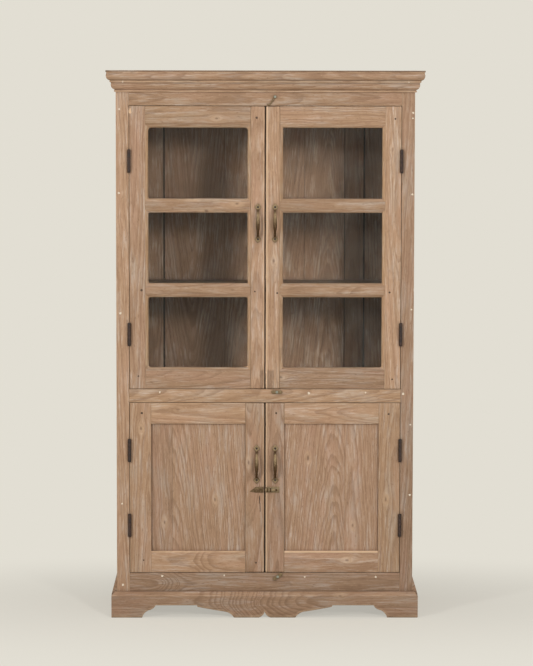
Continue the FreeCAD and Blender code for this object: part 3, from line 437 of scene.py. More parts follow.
def toMesh(bm, name):
    mesh = bpy.data.meshes.new(name)
    bm.to_mesh(mesh)
    bm.free()
    return mesh


def easeEdges(bm, offset):
    sharp = [e for e in bm.edges if len(e.link_faces) == 2 and e.calc_face_angle() > math.radians(35)]
    return bmesh.ops.bevel(bm, geom=sharp, offset=offset, offset_type="OFFSET", segments=2, profile=0.5,
                           affect="EDGES", clamp_overlap=True)["faces"]


# arrises rounded by use, faces out of true by a hair, chips along the edges; where an edge is rubbed pale and painted
# paler as a highlight, the line ends between two cuts
boardWear = {"arrisMm": 1.4, "arrisShare": 0.22, "loopMm": 9, "wideLoopMm": 45, "wobbleMm": 0.3, "wobbleLongMm": 80,
             "chipsPerMetre": 1.6, "chipMm": (0.6, 2.0), "chipSpreadMm": (6.6, 16.5), "rubMm": (4.6, 6.2),
             "gapSideMm": 1, "gapPaintedShade": 5}


def boardMesh(key, low, high, grainAxis, look=(None, None), arrisMm=None, chips=True, rub=None):
    rng = random.Random("wear " + key)
    low, high = Vector(low), Vector(high)
    size, centre = high - low, (low + high) / 2
    bm = timberBmesh()
    bmesh.ops.create_cube(bm, size=1.0, matrix=Matrix.Translation(centre) @ Matrix.Diagonal((*size, 1)))
    across = [axis for axis in range(3) if axis != grainAxis]
    wide = max(across, key=lambda axis: size[axis])
    for axis, stepMm in ((grainAxis, boardWear["loopMm"]), (wide, boardWear["wideLoopMm"])):
        cuts = int(size[axis] / (stepMm * mm))
        if cuts:
            edges = [e for e in bm.edges if abs((e.verts[1].co - e.verts[0].co)[axis]) > 0.5 * size[axis]]
            bmesh.ops.subdivide_edges(bm, edges=edges, cuts=cuts, use_grid_fill=True)
    arris = min((arrisMm or boardWear["arrisMm"]) * mm, boardWear["arrisShare"] * min(size))
    rounded = set(easeEdges(bm, arris))
    if rub:  # the edge's axis, its place and how pale
        rubAxis, place, rubbed = rub
        cut, normal = centre.copy(), Vector((0, 0, 0))
        normal[rubAxis] = 1
        for insetMm in boardWear["rubMm"]:
            cut[rubAxis] = place + math.copysign(insetMm * mm, centre[rubAxis] - place)
            bmesh.ops.bisect_plane(bm, geom=bm.verts[:] + bm.edges[:] + bm.faces[:], plane_co=cut,
                                   plane_no=normal, dist=1e-6)
    spots = []  # chips: where, how deep and how wide
    for _ in range(max(1, round(size[grainAxis] * boardWear["chipsPerMetre"])) if chips else 0):
        corner = Vector((0, 0, 0))
        corner[grainAxis] = rng.uniform(low[grainAxis], high[grainAxis])
        for axis in across:
            corner[axis] = rng.choice((low[axis], high[axis]))
        spots.append((corner, rng.uniform(*boardWear["chipMm"]) * mm, rng.uniform(*boardWear["chipSpreadMm"]) * mm))
    drift = Vector((rng.uniform(0, 50), rng.uniform(0, 50), rng.uniform(0, 50)))
    wear = bm.verts.layers.float["wear"]
    for vert in bm.verts:
        spot = vert.co.copy()
        vert[wear] = 1.0 if all(face in rounded for face in vert.link_faces) else 0.0
        push = noise.noise_vector(spot / (boardWear["wobbleLongMm"] * mm) + drift) * boardWear["wobbleMm"] * mm
        inward = centre - spot
        push[grainAxis] = inward[grainAxis] = 0
        for corner, depth, spread in spots:
            gap = (spot - corner).length
            if gap < spread:
                fall = (1 - gap / spread) ** 2
                push += inward.normalized() * depth * fall
                vert[wear] = max(vert[wear], fall)
        if rub and abs(spot[rubAxis] - place) < sum(boardWear["rubMm"]) / 2 * mm:
            vert[wear] = rubbed
        vert.co = [min(max(c, a), b) for c, a, b in zip(spot + push, low, high)]  # only ever worn away
    dressTimber(bm, grainAxis, key, look)
    if rub and rubAxis == 0:  # the side that faces the gap is painted darker, as the shade in the gap
        for vert in bm.verts:
            if abs(vert.co.x - place) < boardWear["gapSideMm"] * mm and vert.co.y > low.y + arris / 2:
                vert[wear] = 0
                vert[bm.verts.layers.float["tone"]] -= boardWear["gapPaintedShade"]
    return toMesh(bm, key)


def loft(bm, sections, wears=()):
    # quads between like points of neighbouring sections, and a cap at each end
    wear = bm.verts.layers.float.get("wear")
    rows = []
    for section in sections:
        rows.append([bm.verts.new(point) for point in section])
        for vert, worn in zip(rows[-1], wears):
            vert[wear] = worn
    for here, after in zip(rows, rows[1:]):
        for i in range(len(here)):
            j = (i + 1) % len(here)
            bm.faces.new((here[i], here[j], after[j], after[i]))
    bm.faces.new(rows[0])
    bm.faces.new(rows[-1][::-1])


def tidyMesh(bm, name):
    bmesh.ops.remove_doubles(bm, verts=bm.verts, dist=2e-6)
    bmesh.ops.recalc_face_normals(bm, faces=bm.faces)
    return toMesh(bm, name)


def joinMeshes(name, meshes, *materials, sharpDegrees=50):
    bm = bmesh.new()
    for part in meshes:
        bm.from_mesh(part)
        bpy.data.meshes.remove(part)
    mesh = toMesh(bm, name)
    for material in materials:
        mesh.materials.append(material)
    mesh.polygons.foreach_set("use_smooth", [True] * len(mesh.polygons))
    mesh.set_sharp_from_angle(angle=math.radians(sharpDegrees))
    piece = bpy.data.objects.new(name, mesh)
    bpy.context.scene.collection.objects.link(piece)
    return piece


def standFor(piece, node):
    groups = frame["record"]["behaviour"]["bodies"]
    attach(piece, next(body for body, members in groups.items() if node in members))
    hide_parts(node)


def showTimber(node, meshes, finish="weatheredTeak"):
    standFor(joinMeshes(node + "_timber", meshes, teak[finish]), node)


def nodeBmesh(node, bm):
    bm.from_mesh(frame["nodes"][node].data)
    bmesh.ops.remove_doubles(bm, verts=bm.verts, dist=1e-6)
    return bm


def solidBoxes(node):
    # the box of each separate solid in a node, from the lowest up, then from the left
    bm = nodeBmesh(node, bmesh.new())
    boxes, seen = [], set()
    for vert in bm.verts:
        if vert in seen:
            continue
        group, stack = [], [vert]
        seen.add(vert)
        while stack:
            here = stack.pop()
            group.append(here)
            for other in (edge.other_vert(here) for edge in here.link_edges):
                if other not in seen:
                    seen.add(other)
                    stack.append(other)
        boxes.append(boxOf(group))
    bm.free()
    return sorted(boxes, key=lambda box: (round(box[0].z, 4), round(box[0].x, 4)))


def softenedCopy(node, bevelMm, bm):
    # the node's own shape with its razor edges eased
    nodeBmesh(node, bm)
    bmesh.ops.dissolve_limit(bm, angle_limit=math.radians(1), verts=bm.verts, edges=bm.edges)
    easeEdges(bm, bevelMm * mm)
    return bm


def arcThrough(first, middle, last, steps):
    # points on the circle through three points, without the first
    (ax, ay), (bx, by), (cx, cy) = first, middle, last
    twice = 2 * (ax * (by - cy) + bx * (cy - ay) + cx * (ay - by))
    a2, b2, c2 = ax * ax + ay * ay, bx * bx + by * by, cx * cx + cy * cy
    ux = (a2 * (by - cy) + b2 * (cy - ay) + c2 * (ay - by)) / twice
    uy = (a2 * (cx - bx) + b2 * (ax - cx) + c2 * (bx - ax)) / twice
    start, passing, end = (math.atan2(y - uy, x - ux) for x, y in (first, middle, last))
    sweep = (end - start) % math.tau
    if (passing - start) % math.tau > sweep:
        sweep -= math.tau
    radius = math.hypot(ax - ux, ay - uy)
    turns = [start + sweep * k / steps for k in range(1, steps + 1)]
    return [(ux + radius * math.cos(turn), uy + radius * math.sin(turn)) for turn in turns]


def outlinePoints(entries, wide, tall, steps):
    # shares of width and height; a pair of points is an arc through the first to the second
    points = []
    for entry in entries:
        if isinstance(entry[0], tuple):
            (mu, mv), (eu, ev) = entry
            points += arcThrough(points[-1], (mu * wide, mv * tall), (eu * wide, ev * tall), steps)
        else:
            points.append((entry[0] * wide, entry[1] * tall))
    return points


def trimmed(box, axis, low, high):
    first, last = box[0].copy(), box[1].copy()
    first[axis], last[axis] = max(first[axis], low), min(last[axis], high)
    return first, last


# tone and warmth of the front's boards: positive tone is paler
boardLooks = {
    "front_left_post": (0.9, 0.1), "front_right_post": (-1.2, 0.0), "top_front_rail": (-1.0, 0.2),
    "middle_front_rail": (0.3, 0.3), "bottom_front_rail": (-1.9, 0.1),
    "upper_left_hinge_stile": (0.0, 0.0), "upper_left_meeting_stile": (0.9, 0.0),
    "upper_right_meeting_stile": (1.1, 0.1), "upper_right_hinge_stile": (1.2, 0.1),
    "lower_left_hinge_stile": (0.4, 0.2), "lower_left_meeting_stile": (-0.5, 0.15),
    "lower_right_meeting_stile": (-0.5, 0.0), "lower_right_hinge_stile": (-0.1, 0.3),
    "cornice": (-0.3, 0.1), "plinth": (-1.6, 0.1),
}
# doors' rails from the bottom up
railLooks = {
    "upper_left": ((-1.3, 0.2), (-1.2, 0.2), (-0.6, 0.25), (-1.2, 0.35)),
    "upper_right": ((-1.7, 0.1), (-0.8, 0.2), (-1.2, 0.2), (0.1, 0.2)),
    "lower_left": ((1.3, 0.2), (0.9, 0.3)), "lower_right": ((1.3, 0.0), (0.8, 0.2)),
}
# the back boards have shrunk apart, most at the outer seams; tongues close each, painted near black as the shade in
# the seams; then every board's tone and warmth
backSeams = {"openMm": (6.0, 0.8, 0.8, 1.0, 3.0, 6.0), "tongueMm": (9, 4), "tongueLook": (-8.5, 0), "arrisMm": 0.8,
             "looks": ((-0.2, 0.2), (0.5, 0.2), (0.6, 0.2), (1.5, 0.0), (1.3, 0.0), (0.3, 0.2), (-0.2, 0.0))}


def buildBackBoards():
    boxes = solidBoxes("back_boards")
    meshes = []
    reach, thick = (size / 2 * mm for size in backSeams["tongueMm"])  # halves
    for (low, high), (after, _), openMm in zip(boxes, boxes[1:], backSeams["openMm"]):
        seam = (high.x + after.x) / 2
        high.x = seam - openMm / 2 * mm
        after.x = 2 * seam - high.x
        meshes.append(boardMesh(f"back tongue {seam:.2f}", (seam - reach, high.y - 2.2 * thick, low.z),
                                (seam + reach, high.y - 0.2 * thick, high.z), 2, backSeams["tongueLook"],
                                chips=False))
    for index, box in enumerate(boxes):
        meshes.append(boardMesh(f"back_boards {index}", *box, 2, backSeams["looks"][index], backSeams["arrisMm"]))
    showTimber("back_boards", meshes, "paintedShadeTeak")


# each node's grain axis and, where a tenon or tongue runs on out of sight, the axis and limits it is cut to; the
# front's boards have looks of their own, and the others are tinted by chance
betweenSides = (0, -openHalf, openHalf)
betweenPosts = (1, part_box("front_right_post")[1].y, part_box("rear_right_post")[0].y)
carcassBoards = {
    "front": {"front_left_post": (2, None), "front_right_post": (2, None), "top_front_rail": (0, betweenSides),
              "middle_front_rail": (0, betweenSides), "bottom_front_rail": (0, betweenSides)},
    "others": {"rear_rails": (0, betweenSides), "side_rails": (1, betweenPosts), "side_panels": (2, None),
               "shelf_bearers": (1, None), "top_board": (0, None)},
    # rebated posts and notched shelves keep their own shape
    "shaped": {"rear_left_post": 2, "rear_right_post": 2, "waist_deck": 0, "bottom_deck": 0,
               "lower_display_shelf": 0, "upper_display_shelf": 0, "cupboard_shelf": 0},
    # inside parts take the darker teak, painted shade of the dim inside
    "shaded": ("shelf_bearers", "waist_deck", "bottom_deck", "lower_display_shelf", "upper_display_shelf",
               "cupboard_shelf"),
}


def buildCarcass():
    for node, (axis, trim) in carcassBoards["front"].items():
        box = trimmed(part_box(node), *trim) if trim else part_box(node)
        showTimber(node, [boardMesh(node, *box, axis, boardLooks[node])])
    for node, (axis, trim) in carcassBoards["others"].items():
        boxes = [trimmed(box, *trim) if trim else box for box in solidBoxes(node)]
        meshes = [boardMesh(f"{node} {index}", *box, axis) for index, box in enumerate(boxes)]
        showTimber(node, meshes, "paintedShadeTeak" if node in carcassBoards["shaded"] else "weatheredTeak")
    buildBackBoards()
    for node, axis in carcassBoards["shaped"].items():
        bm = softenedCopy(node, boardWear["arrisMm"], timberBmesh())
        dressTimber(bm, axis, node)
        showTimber(node, [tidyMesh(bm, node)],
                   "paintedShadeTeak" if node in carcassBoards["shaded"] else "weatheredTeak")


buildCarcass()
print("carcass made")

# ovolo sticking cut on the glazed doors' frames, and the beads that hold the glass from behind:
# profile points are mm in from the frame's flat and mm back from its face
sticking = {
    "wideMm": 10, "lapMm": 7, "stepMm": 14, "cornerTurns": (45, 60, 75),
    "profile": [(0, 0), (1.4, 0.15), (4.6, 1.3), (7.4, 3.0), (9.2, 4.7), (10, 6.4), (10, 11), (2, 11), (2, 24),
                (0, 24)],
    "wears": [0, 0.5, 0.2, 0.1, 0.5, 0.7, 0, 0, 0, 0], "hingeLook": (0.3, 0.5), "meetingLook": (0.3, 0.4),
    "bead": [(2.2, 14.1), (10, 14.1), (10, 19), (7.5, 22.5), (3.5, 24), (2.2, 24)],
    # rounding of the openings' corners from the bottom up: top left, top right, bottom left, bottom right
    "corners": {"left": [(7, 6, 8, 7), (6, 4, 6, 3), (10, 9, 5, 3)],
                "right": [(1, 1, 8, 7), (1, 1, 1, 1), (1, 1, 1, 1)]},
}


def ringStrips(key, rect, profile, wears, corners, looks):
    # four mitred strips round one opening, told apart by edge
    x0, z0, x1, z1 = rect
    topLeft, topRight, bottomLeft, bottomRight = corners
    strips = {}
    for edge, ends in (("bottom", (bottomLeft, bottomRight)), ("top", (topLeft, topRight)),
                       ("left", (bottomLeft, topLeft)), ("right", (bottomRight, topRight))):
        level = edge in ("bottom", "top")
        length = x1 - x0 if level else z1 - z0
        runs = max(2, int(length / (sticking["stepMm"] * mm)))
        stations = [(0, turn) for turn in sticking["cornerTurns"]] + [(k / runs, 90) for k in range(runs + 1)]
        stations += [(1, turn) for turn in sticking["cornerTurns"][::-1]]
        sections = []
        for share, turn in stations:
            section = []
            for inMm, backMm in profile:
                inset = inMm * mm
                near, far = (inset * radius / sticking["wideMm"] for radius in ends)
                bend = near if share < 0.5 else far
                along = (inset + near) * (1 - share) + (length - inset - far) * share
                along += bend * math.cos(math.radians(turn)) * (-1 if share < 0.5 else 1)
                inward = inset + bend * (1 - math.sin(math.radians(turn)))
                place = {"bottom": (x0 + along, z0 + inward), "top": (x0 + along, z1 - inward),
                         "left": (x0 + inward, z0 + along), "right": (x1 - inward, z0 + along)}[edge]
                section.append((place[0], faceY + backMm * mm, place[1]))
            sections.append(section)
        bm = timberBmesh()
        loft(bm, sections, wears)
        dressTimber(bm, 0 if level else 2, f"{key} {edge}", looks[edge])
        strips[edge] = tidyMesh(bm, f"{key} {edge}")
    return strips


# hands have rubbed the meeting edges, which are painted paler still as a highlight, most on the right-hand leaves; a
# tongue on the left leaves closes the gap to the right ones, painted near black as the shade in the gap: mm back from
# the face, reach, tone and warmth
meeting = {"deepMm": (9, 21), "reachMm": 2.6, "rootMm": 1, "look": (-8, 0), "rub": {-1: 0.7, 1: 1.5}, "arrisMm": 3.4}


def stileMeshes(name, low, high, side):
    if name.endswith("hinge_stile"):
        return [boardMesh(name, low, high, 2, boardLooks[name])]
    rub = (0, high.x if side < 0 else low.x, meeting["rub"][side])
    meshes = [boardMesh(name, low, high, 2, boardLooks[name], meeting["arrisMm"], rub=rub)]
    if side < 0:
        front, back = (faceY + deep * mm for deep in meeting["deepMm"])
        root, reach = meeting["rootMm"] * mm, meeting["reachMm"] * mm
        meshes.append(boardMesh(name + " tongue", (high.x - root, front, low.z + root),
                                (high.x + reach, back, high.z - root), 2, meeting["look"], chips=False))
    return meshes


def buildGlazedDoor(hand, side):
    door = f"upper_{hand}"
    wide, lap = sticking["wideMm"] * mm, sticking["lapMm"] * mm
    edges = {"hinge_stile": "left" if side < 0 else "right", "meeting_stile": "right" if side < 0 else "left"}
    meshes, flats = {}, {}
    for part, edge in edges.items():
        name = f"{door}_{part}"
        low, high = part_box(name)
        if edge == "left":
            high.x -= wide
            flats[edge] = high.x
        else:
            low.x += wide
            flats[edge] = low.x
        meshes[name] = stileMeshes(name, low, high, side)
    meshes[door + "_rails"], meshes[door + "_beads"] = [], []
    rails = solidBoxes(door + "_rails")
    last = len(rails) - 1
    for index, box in enumerate(rails):
        low, high = trimmed(box, 0, flats["left"], flats["right"])
        low.z += wide if index else 0
        high.z -= wide if index < last else 0
        meshes[door + "_rails"].append(boardMesh(f"{door} rail {index}", low, high, 0, railLooks[door][index],
                                                 chips=index in (0, last)))
    for index, (low, high) in enumerate(solidBoxes(door + "_panes")):
        rect = (low.x + lap - wide, low.z + lap - wide, high.x - lap + wide, high.z - lap + wide)
        looks = {"top": railLooks[door][index + 1], "bottom": railLooks[door][index],
                 edges["hinge_stile"]: sticking["hingeLook"], edges["meeting_stile"]: sticking["meetingLook"]}
        strips = ringStrips(f"{door} sticking {index}", rect, sticking["profile"], sticking["wears"],
                            sticking["corners"][hand][index], looks)
        meshes[door + "_rails"] += [strips["top"], strips["bottom"]]
        for part, edge in edges.items():
            meshes[f"{door}_{part}"].append(strips[edge])
        beads = ringStrips(f"{door} bead {index}", rect, sticking["bead"], (), (0, 0, 0, 0), looks)
        meshes[door + "_beads"] += list(beads.values())
    for node, parts in meshes.items():
        showTimber(node, parts)
    for materialSlot in frame["nodes"][door + "_panes"].material_slots:
        materialSlot.material = glass


# each lower panel is glued up from two boards: where they meet in mm, and both boards' tone and warmth
panelBoards = {"left": (-304.6, (-0.8, 0.0), (-0.1, 0.1)), "right": (262, (0.3, 0.0), (0.4, 0.0)), "arrisMm": 0.5,
               "seamMm": 0.2}


def buildPanelledDoor(hand, side):
    door = f"lower_{hand}"
    stiles = {part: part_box(f"{door}_{part}") for part in ("hinge_stile", "meeting_stile")}
    for part, (low, high) in stiles.items():
        showTimber(f"{door}_{part}", stileMeshes(f"{door}_{part}", low, high, side))
    left, right = sorted(stiles.values(), key=lambda box: box[0].x)
    meshes = []
    for index, box in enumerate(solidBoxes(door + "_rails")):
        low, high = trimmed(box, 0, left[1].x, right[0].x)
        rub = None if index else (2, high.z, meeting["rub"][side])  # the ledge under the panel, rubbed pale and painted paler as a highlight where it faces up
        meshes.append(boardMesh(f"{door} rail {index}", low, high, 0, railLooks[door][index], rub=rub))
    showTimber(door + "_rails", meshes)
    seamMm, first, second = panelBoards[hand]
    leftEnd, rightStart = ((seamMm + way * panelBoards["seamMm"] / 2) * mm for way in (-1, 1))
    low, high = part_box(door + "_panel")
    meshes = [boardMesh(f"{door} panel a", low, (leftEnd, high.y, high.z), 2, first, panelBoards["arrisMm"],
                        chips=False),
              boardMesh(f"{door} panel b", (rightStart, low.y, low.z), high, 2, second, panelBoards["arrisMm"],
                        chips=False)]
    showTimber(door + "_panel", meshes)


for hand, side in (("left", -1), ("right", 1)):
    buildGlazedDoor(hand, side)
    buildPanelledDoor(hand, side)
print("doors made")

# cornice: profile as shares of its overhang and height, run in three mitred lengths
cornice = {
    "shares": [(0, 0), (0.10, 0), ((0.17, 0.045), (0.11, 0.09)), (0.13, 0.115), ((0.37, 0.19), (0.475, 0.33)),
               (0.46, 0.42), (0.51, 0.445), ((0.60, 0.485), (0.57, 0.525)), (0.62, 0.54),
               ((0.87, 0.62), (0.95, 0.72)), ((0.955, 0.79), (0.915, 0.85)), (0.915, 0.905), (0.965, 0.925),
               (0.995, 0.945), (1, 0.965), (0.99, 0.995), (0.97, 1), (0, 1)],
    # by height share, from and to: how rubbed, and how much lighter or darker; beads are rubbed pale and painted
    # lighter as highlights, the quirks beside them are painted dark as the shade in them, and the top fillet is
    # darker
    "bands": [(0.0, 0.095, 0.6, 0.5), (0.1, 0.13, 0.0, -2.5), (0.41, 0.43, 0.0, -2.5), (0.44, 0.53, 0.6, 0.5),
              (0.535, 0.56, 0.0, -2.0), (0.84, 0.88, 0.0, -1.5), (0.9, 0.93, 0.6, 0.8), (0.94, 1.01, 0.0, -4.0)],
    "arcSteps": 5, "stepMm": 8, "wobbleMm": 0.35, "wobblesPerMetre": 11,
    "chipMm": 3.4, "chipLongMm": 17, "chipFrom": 0.18, "chipAbove": 0.9,
}


def corniceMesh(key, points, wears, shades, sideX, low, chipAbove):
    # sideX 0 is the front run, -1 and 1 the returns; points are metres outward and up from low
    length = 2 * halfWide if sideX == 0 else backY - faceY
    count = int(length / (cornice["stepMm"] * mm))
    sections = []
    for share in (k / count for k in range(count + 1)):
        section = []
        for out, up in points:
            place = Vector((0, 0, low + up))
            if sideX == 0:
                place.x, place.y = (2 * share - 1) * (halfWide + out), faceY - out
            else:
                place.x, place.y = sideX * (halfWide + out), (faceY - out) * (1 - share) + backY * share
            push = noise.noise(place * cornice["wobblesPerMetre"]) * cornice["wobbleMm"] * mm
            if up >= chipAbove and out > 0:
                worn = noise.noise(place / (cornice["chipLongMm"] * mm)) - cornice["chipFrom"]
                push -= max(0, worn) * cornice["chipMm"] * mm
            push = min(push, 0)  # only ever worn away
            if out > 0:
                place += Vector((0, -push, 0)) if sideX == 0 else Vector((sideX * push, 0, 0))
            section.append(place)
        sections.append(section)
    bm = timberBmesh()
    loft(bm, sections, wears)
    dressTimber(bm, 0 if sideX == 0 else 1, key, boardLooks["cornice"])
    tone = bm.verts.layers.float["tone"]
    for index, vert in enumerate(bm.verts):
        vert[tone] += shades[index % len(points)]
    return tidyMesh(bm, key)


def buildCornice():
    low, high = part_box("cornice_front")
    tall, wide = high.z - low.z, faceY - low.y
    points = outlinePoints(cornice["shares"], wide, tall, cornice["arcSteps"])
    wears, shades = [0.0] * len(points), [0.0] * len(points)
    for k, (out, up) in enumerate(points):
        for start, end, rubbed, lighter in cornice["bands"]:
            if start <= up / tall < end:
                wears[k], shades[k] = rubbed, lighter
    for node, runs in (("cornice_front", {"cornice front": 0}),
                       ("cornice_returns", {"cornice return -1": -1, "cornice return 1": 1})):
        showTimber(node, [corniceMesh(key, points, wears, shades, sideX, low.z, cornice["chipAbove"] * tall)
                          for key, sideX in runs.items()])


buildCornice()

# plinth: the scallop runs from the middle notch to the foot, in shares of the half length and its rise
plinth = {
    "overhangMm": 18, "chamferMm": (11, 13), "riseMm": 41, "stepMm": 8, "arcSteps": 6, "arrisMm": 1.4,
    "slopeStartMm": 77, "slopeTopMm": 135, "footFrom": 0.84, "wobbleMm": 0.4, "wobblesPerMetre": 14,
    "chipMm": 3, "chipLongMm": 30, "chipFrom": 0.3, "chamferPaintedLight": 1.8,
    "scallop": [(0, 0.48), ((0.013, 0.19), (0.04, 0)), (0.2, 0), ((0.225, 0.32), (0.267, 0.5)),
                ((0.35, 0.67), (0.439, 0.88)), (0.443, 1), (0.711, 1), ((0.727, 0.76), (0.757, 0.6)),
                ((0.785, 0.35), (0.8, 0)), (1, 0)],
    "wears": [0, 0.3, 0.8, 0, 0, 0, 0.4, 0.5, 0, 0.3, 0], "returnWear": 0.4,
}


def buildPlinth():
    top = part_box("plinth_front")[1].z
    out, arris = plinth["overhangMm"] * mm, plinth["arrisMm"] * mm
    chamferIn, chamferLow = out - plinth["chamferMm"][0] * mm, top - plinth["chamferMm"][1] * mm
    reach = halfWide + out
    half = outlinePoints(plinth["scallop"], reach, plinth["riseMm"] * mm, plinth["arcSteps"])
    lower = [half[0]]
    for point in half[1:]:
        start = lower[-1]
        span = point[0] - start[0]
        pieces = max(1, int(span / (plinth["stepMm"] * mm)))
        lower += [(start[0] + span * k / pieces, start[1] + (point[1] - start[1]) * k / pieces)
                  for k in range(1, pieces + 1)]
    sections = []
    footStart = plinth["footFrom"] * reach  # from here out the ends are mitred
    for x, bottom in [(-x, z) for x, z in lower[:0:-1]] + lower:
        rise = chamferLow - bottom
        profile = [(0, bottom), (out - arris, bottom), (out, bottom + arris)]
        profile += [(out, bottom + rise * share) for share in (0.3, 0.6, 0.9)]
        profile += [(out, chamferLow - arris / 2), (out - arris / 2, chamferLow + arris / 2),
                    (chamferIn + arris / 2, top - arris / 2), (chamferIn - arris / 2, top), (0, top)]
        section = []
        for u, z in profile:
            far = footStart + (abs(x) - footStart) * (halfWide + u - footStart) / (reach - footStart)
            spot = Vector((math.copysign(far, x) if abs(x) > footStart else x, faceY - u, z))
            push = max(0, noise.noise(spot * plinth["wobblesPerMetre"]) * plinth["wobbleMm"] * mm)
            worn = noise.noise(spot / (plinth["chipLongMm"] * mm)) - plinth["chipFrom"]
            worn = max(0, worn) * plinth["chipMm"] * mm if u < out else 0
            spot.y += push + worn if u > 0 else 0
            section.append(spot)
        sections.append(section)
    bm = timberBmesh()
    loft(bm, sections, plinth["wears"])
    dressTimber(bm, 0, "plinth front", boardLooks["plinth"])
    tone = bm.verts.layers.float["tone"]
    for vert in bm.verts:
        if vert.co.z > chamferLow:
            vert[tone] += plinth["chamferPaintedLight"]  # painted lighter where the chamfer faces up to the light
    showTimber("plinth_front", [tidyMesh(bm, "plinth front")])

    meshes = []
    slopeLow, slopeTop = plinth["slopeStartMm"] * mm, plinth["slopeTopMm"] * mm
    mitred = [(0, 0), (out - arris, 0), (out, arris), (out, chamferLow), (chamferIn, top), (0, top)]
    sloped = [(0, 0), (out - arris, 0), (out, arris), (out, slopeLow / 2), (out, slopeLow - arris),
              (out - arris / 2, slopeLow + arris), (out / 2, (slopeLow + slopeTop) / 2),
              (arris / 2, slopeTop - arris), (0, slopeTop - arris)]
    deep = backY - faceY
    steps = int(deep / (plinth["stepMm"] * mm))
    for side in (-1, 1):
        for label, profile, reaches in (("corner", mitred, [(-1, 0), (0, 0)]),
                                        ("run", sloped, [(0, k / steps) for k in range(steps + 1)])):
            sections = [[(side * (halfWide + u), faceY + forward * u + deep * share, z) for u, z in profile]
                        for forward, share in reaches]
            bm = timberBmesh()
            loft(bm, sections, [plinth["returnWear"] if 0 < u < out else 0.0 for u, z in profile])
            dressTimber(bm, 1, f"plinth return {side}", boardLooks["plinth"])
            meshes.append(tidyMesh(bm, f"plinth {label} {side}"))
    showTimber("plinth_returns", meshes)


buildPlinth()
print("mouldings made")

# cast bow pulls: lozenge rosettes, a spindle grip on a bow, slotted screws
pull = {
    "nodes": ("upper_left_pull", "upper_right_pull", "lower_left_pull", "lower_right_pull"),
    "spacingMm": 105, "neckSpacingMm": 87, "standoffMm": 23, "gripMm": 6.4, "neckMm": 3.2, "footMm": 1.75,
    "spindle": [0.3, 0.05, 0.0, 0.3, 0.12, 0.4, 0.66, 0.84, 0.95, 1.0, 1.0, 0.98, 0.92, 0.8, 0.62, 0.4, 0.12, 0.3,
                0.0, 0.05, 0.3],
    "sides": 18, "rosetteMm": (22, 24, 3.5), "rosetteSides": 32, "lozenge": 1.12,  # 1 is a diamond, 2 an oval
    # rings of the rosette and of a screw's head, as shares of their width and height
    "rosette": ((1, 0), (1, 0.62), (0.93, 0.86), (0.8, 1.0), (0.62, 0.98), (0.5, 0.8), (0.2, 0.78)),
    "screw": ((1.0, 0.0), (1.0, 0.35), (0.93, 0.7), (0.72, 0.92), (0.4, 1.0), (0.12, 1.0)),
    "screwMm": 3.4, "screwHighMm": 1.6, "screwSeat": 0.8, "screwSides": 20, "slotWide": 0.2, "slotDeep": 0.55,
    # patina and painted light up the pull: height from its middle as a share of the spacing, and how dark; the grip
    # is pale above as a painted reflection of the light overhead and umber below as painted shade
    "patinaAndPaintedLight": [(-0.7, 0.25), (-0.52, 0.25), (-0.45, 0.6), (-0.38, 1.0), (-0.25, 0.95), (-0.1, 0.75), (0.03, 0.55),
               (0.13, 0.3), (0.22, 0.08), (0.3, 0.05), (0.36, 0.7), (0.41, 0.7), (0.45, 0.1), (0.7, 0.1)],
}


def circle(sides):
    return [(math.cos(math.tau * k / sides), math.sin(math.tau * k / sides)) for k in range(sides)]


def screwHead(bm, centre, slotTurn):
    # low dome with a slot pressed across it, in the second material
    radius, high = pull["screwMm"] * mm, pull["screwHighMm"] * mm
    before = set(bm.faces)
    sections = []
    for share, lift in pull["screw"]:
        ring = []
        for c, s in circle(pull["screwSides"]):
            x, z = radius * share * c, radius * share * s
            across = abs(x * math.cos(slotTurn) + z * math.sin(slotTurn))
            sink = pull["slotDeep"] * high if across < pull["slotWide"] * radius and share < 0.95 else 0
            ring.append(centre + Vector((x, -(high * lift - sink), z)))
        sections.append(ring)
    loft(bm, sections)
    for face in set(bm.faces) - before:
        face.material_index = 1


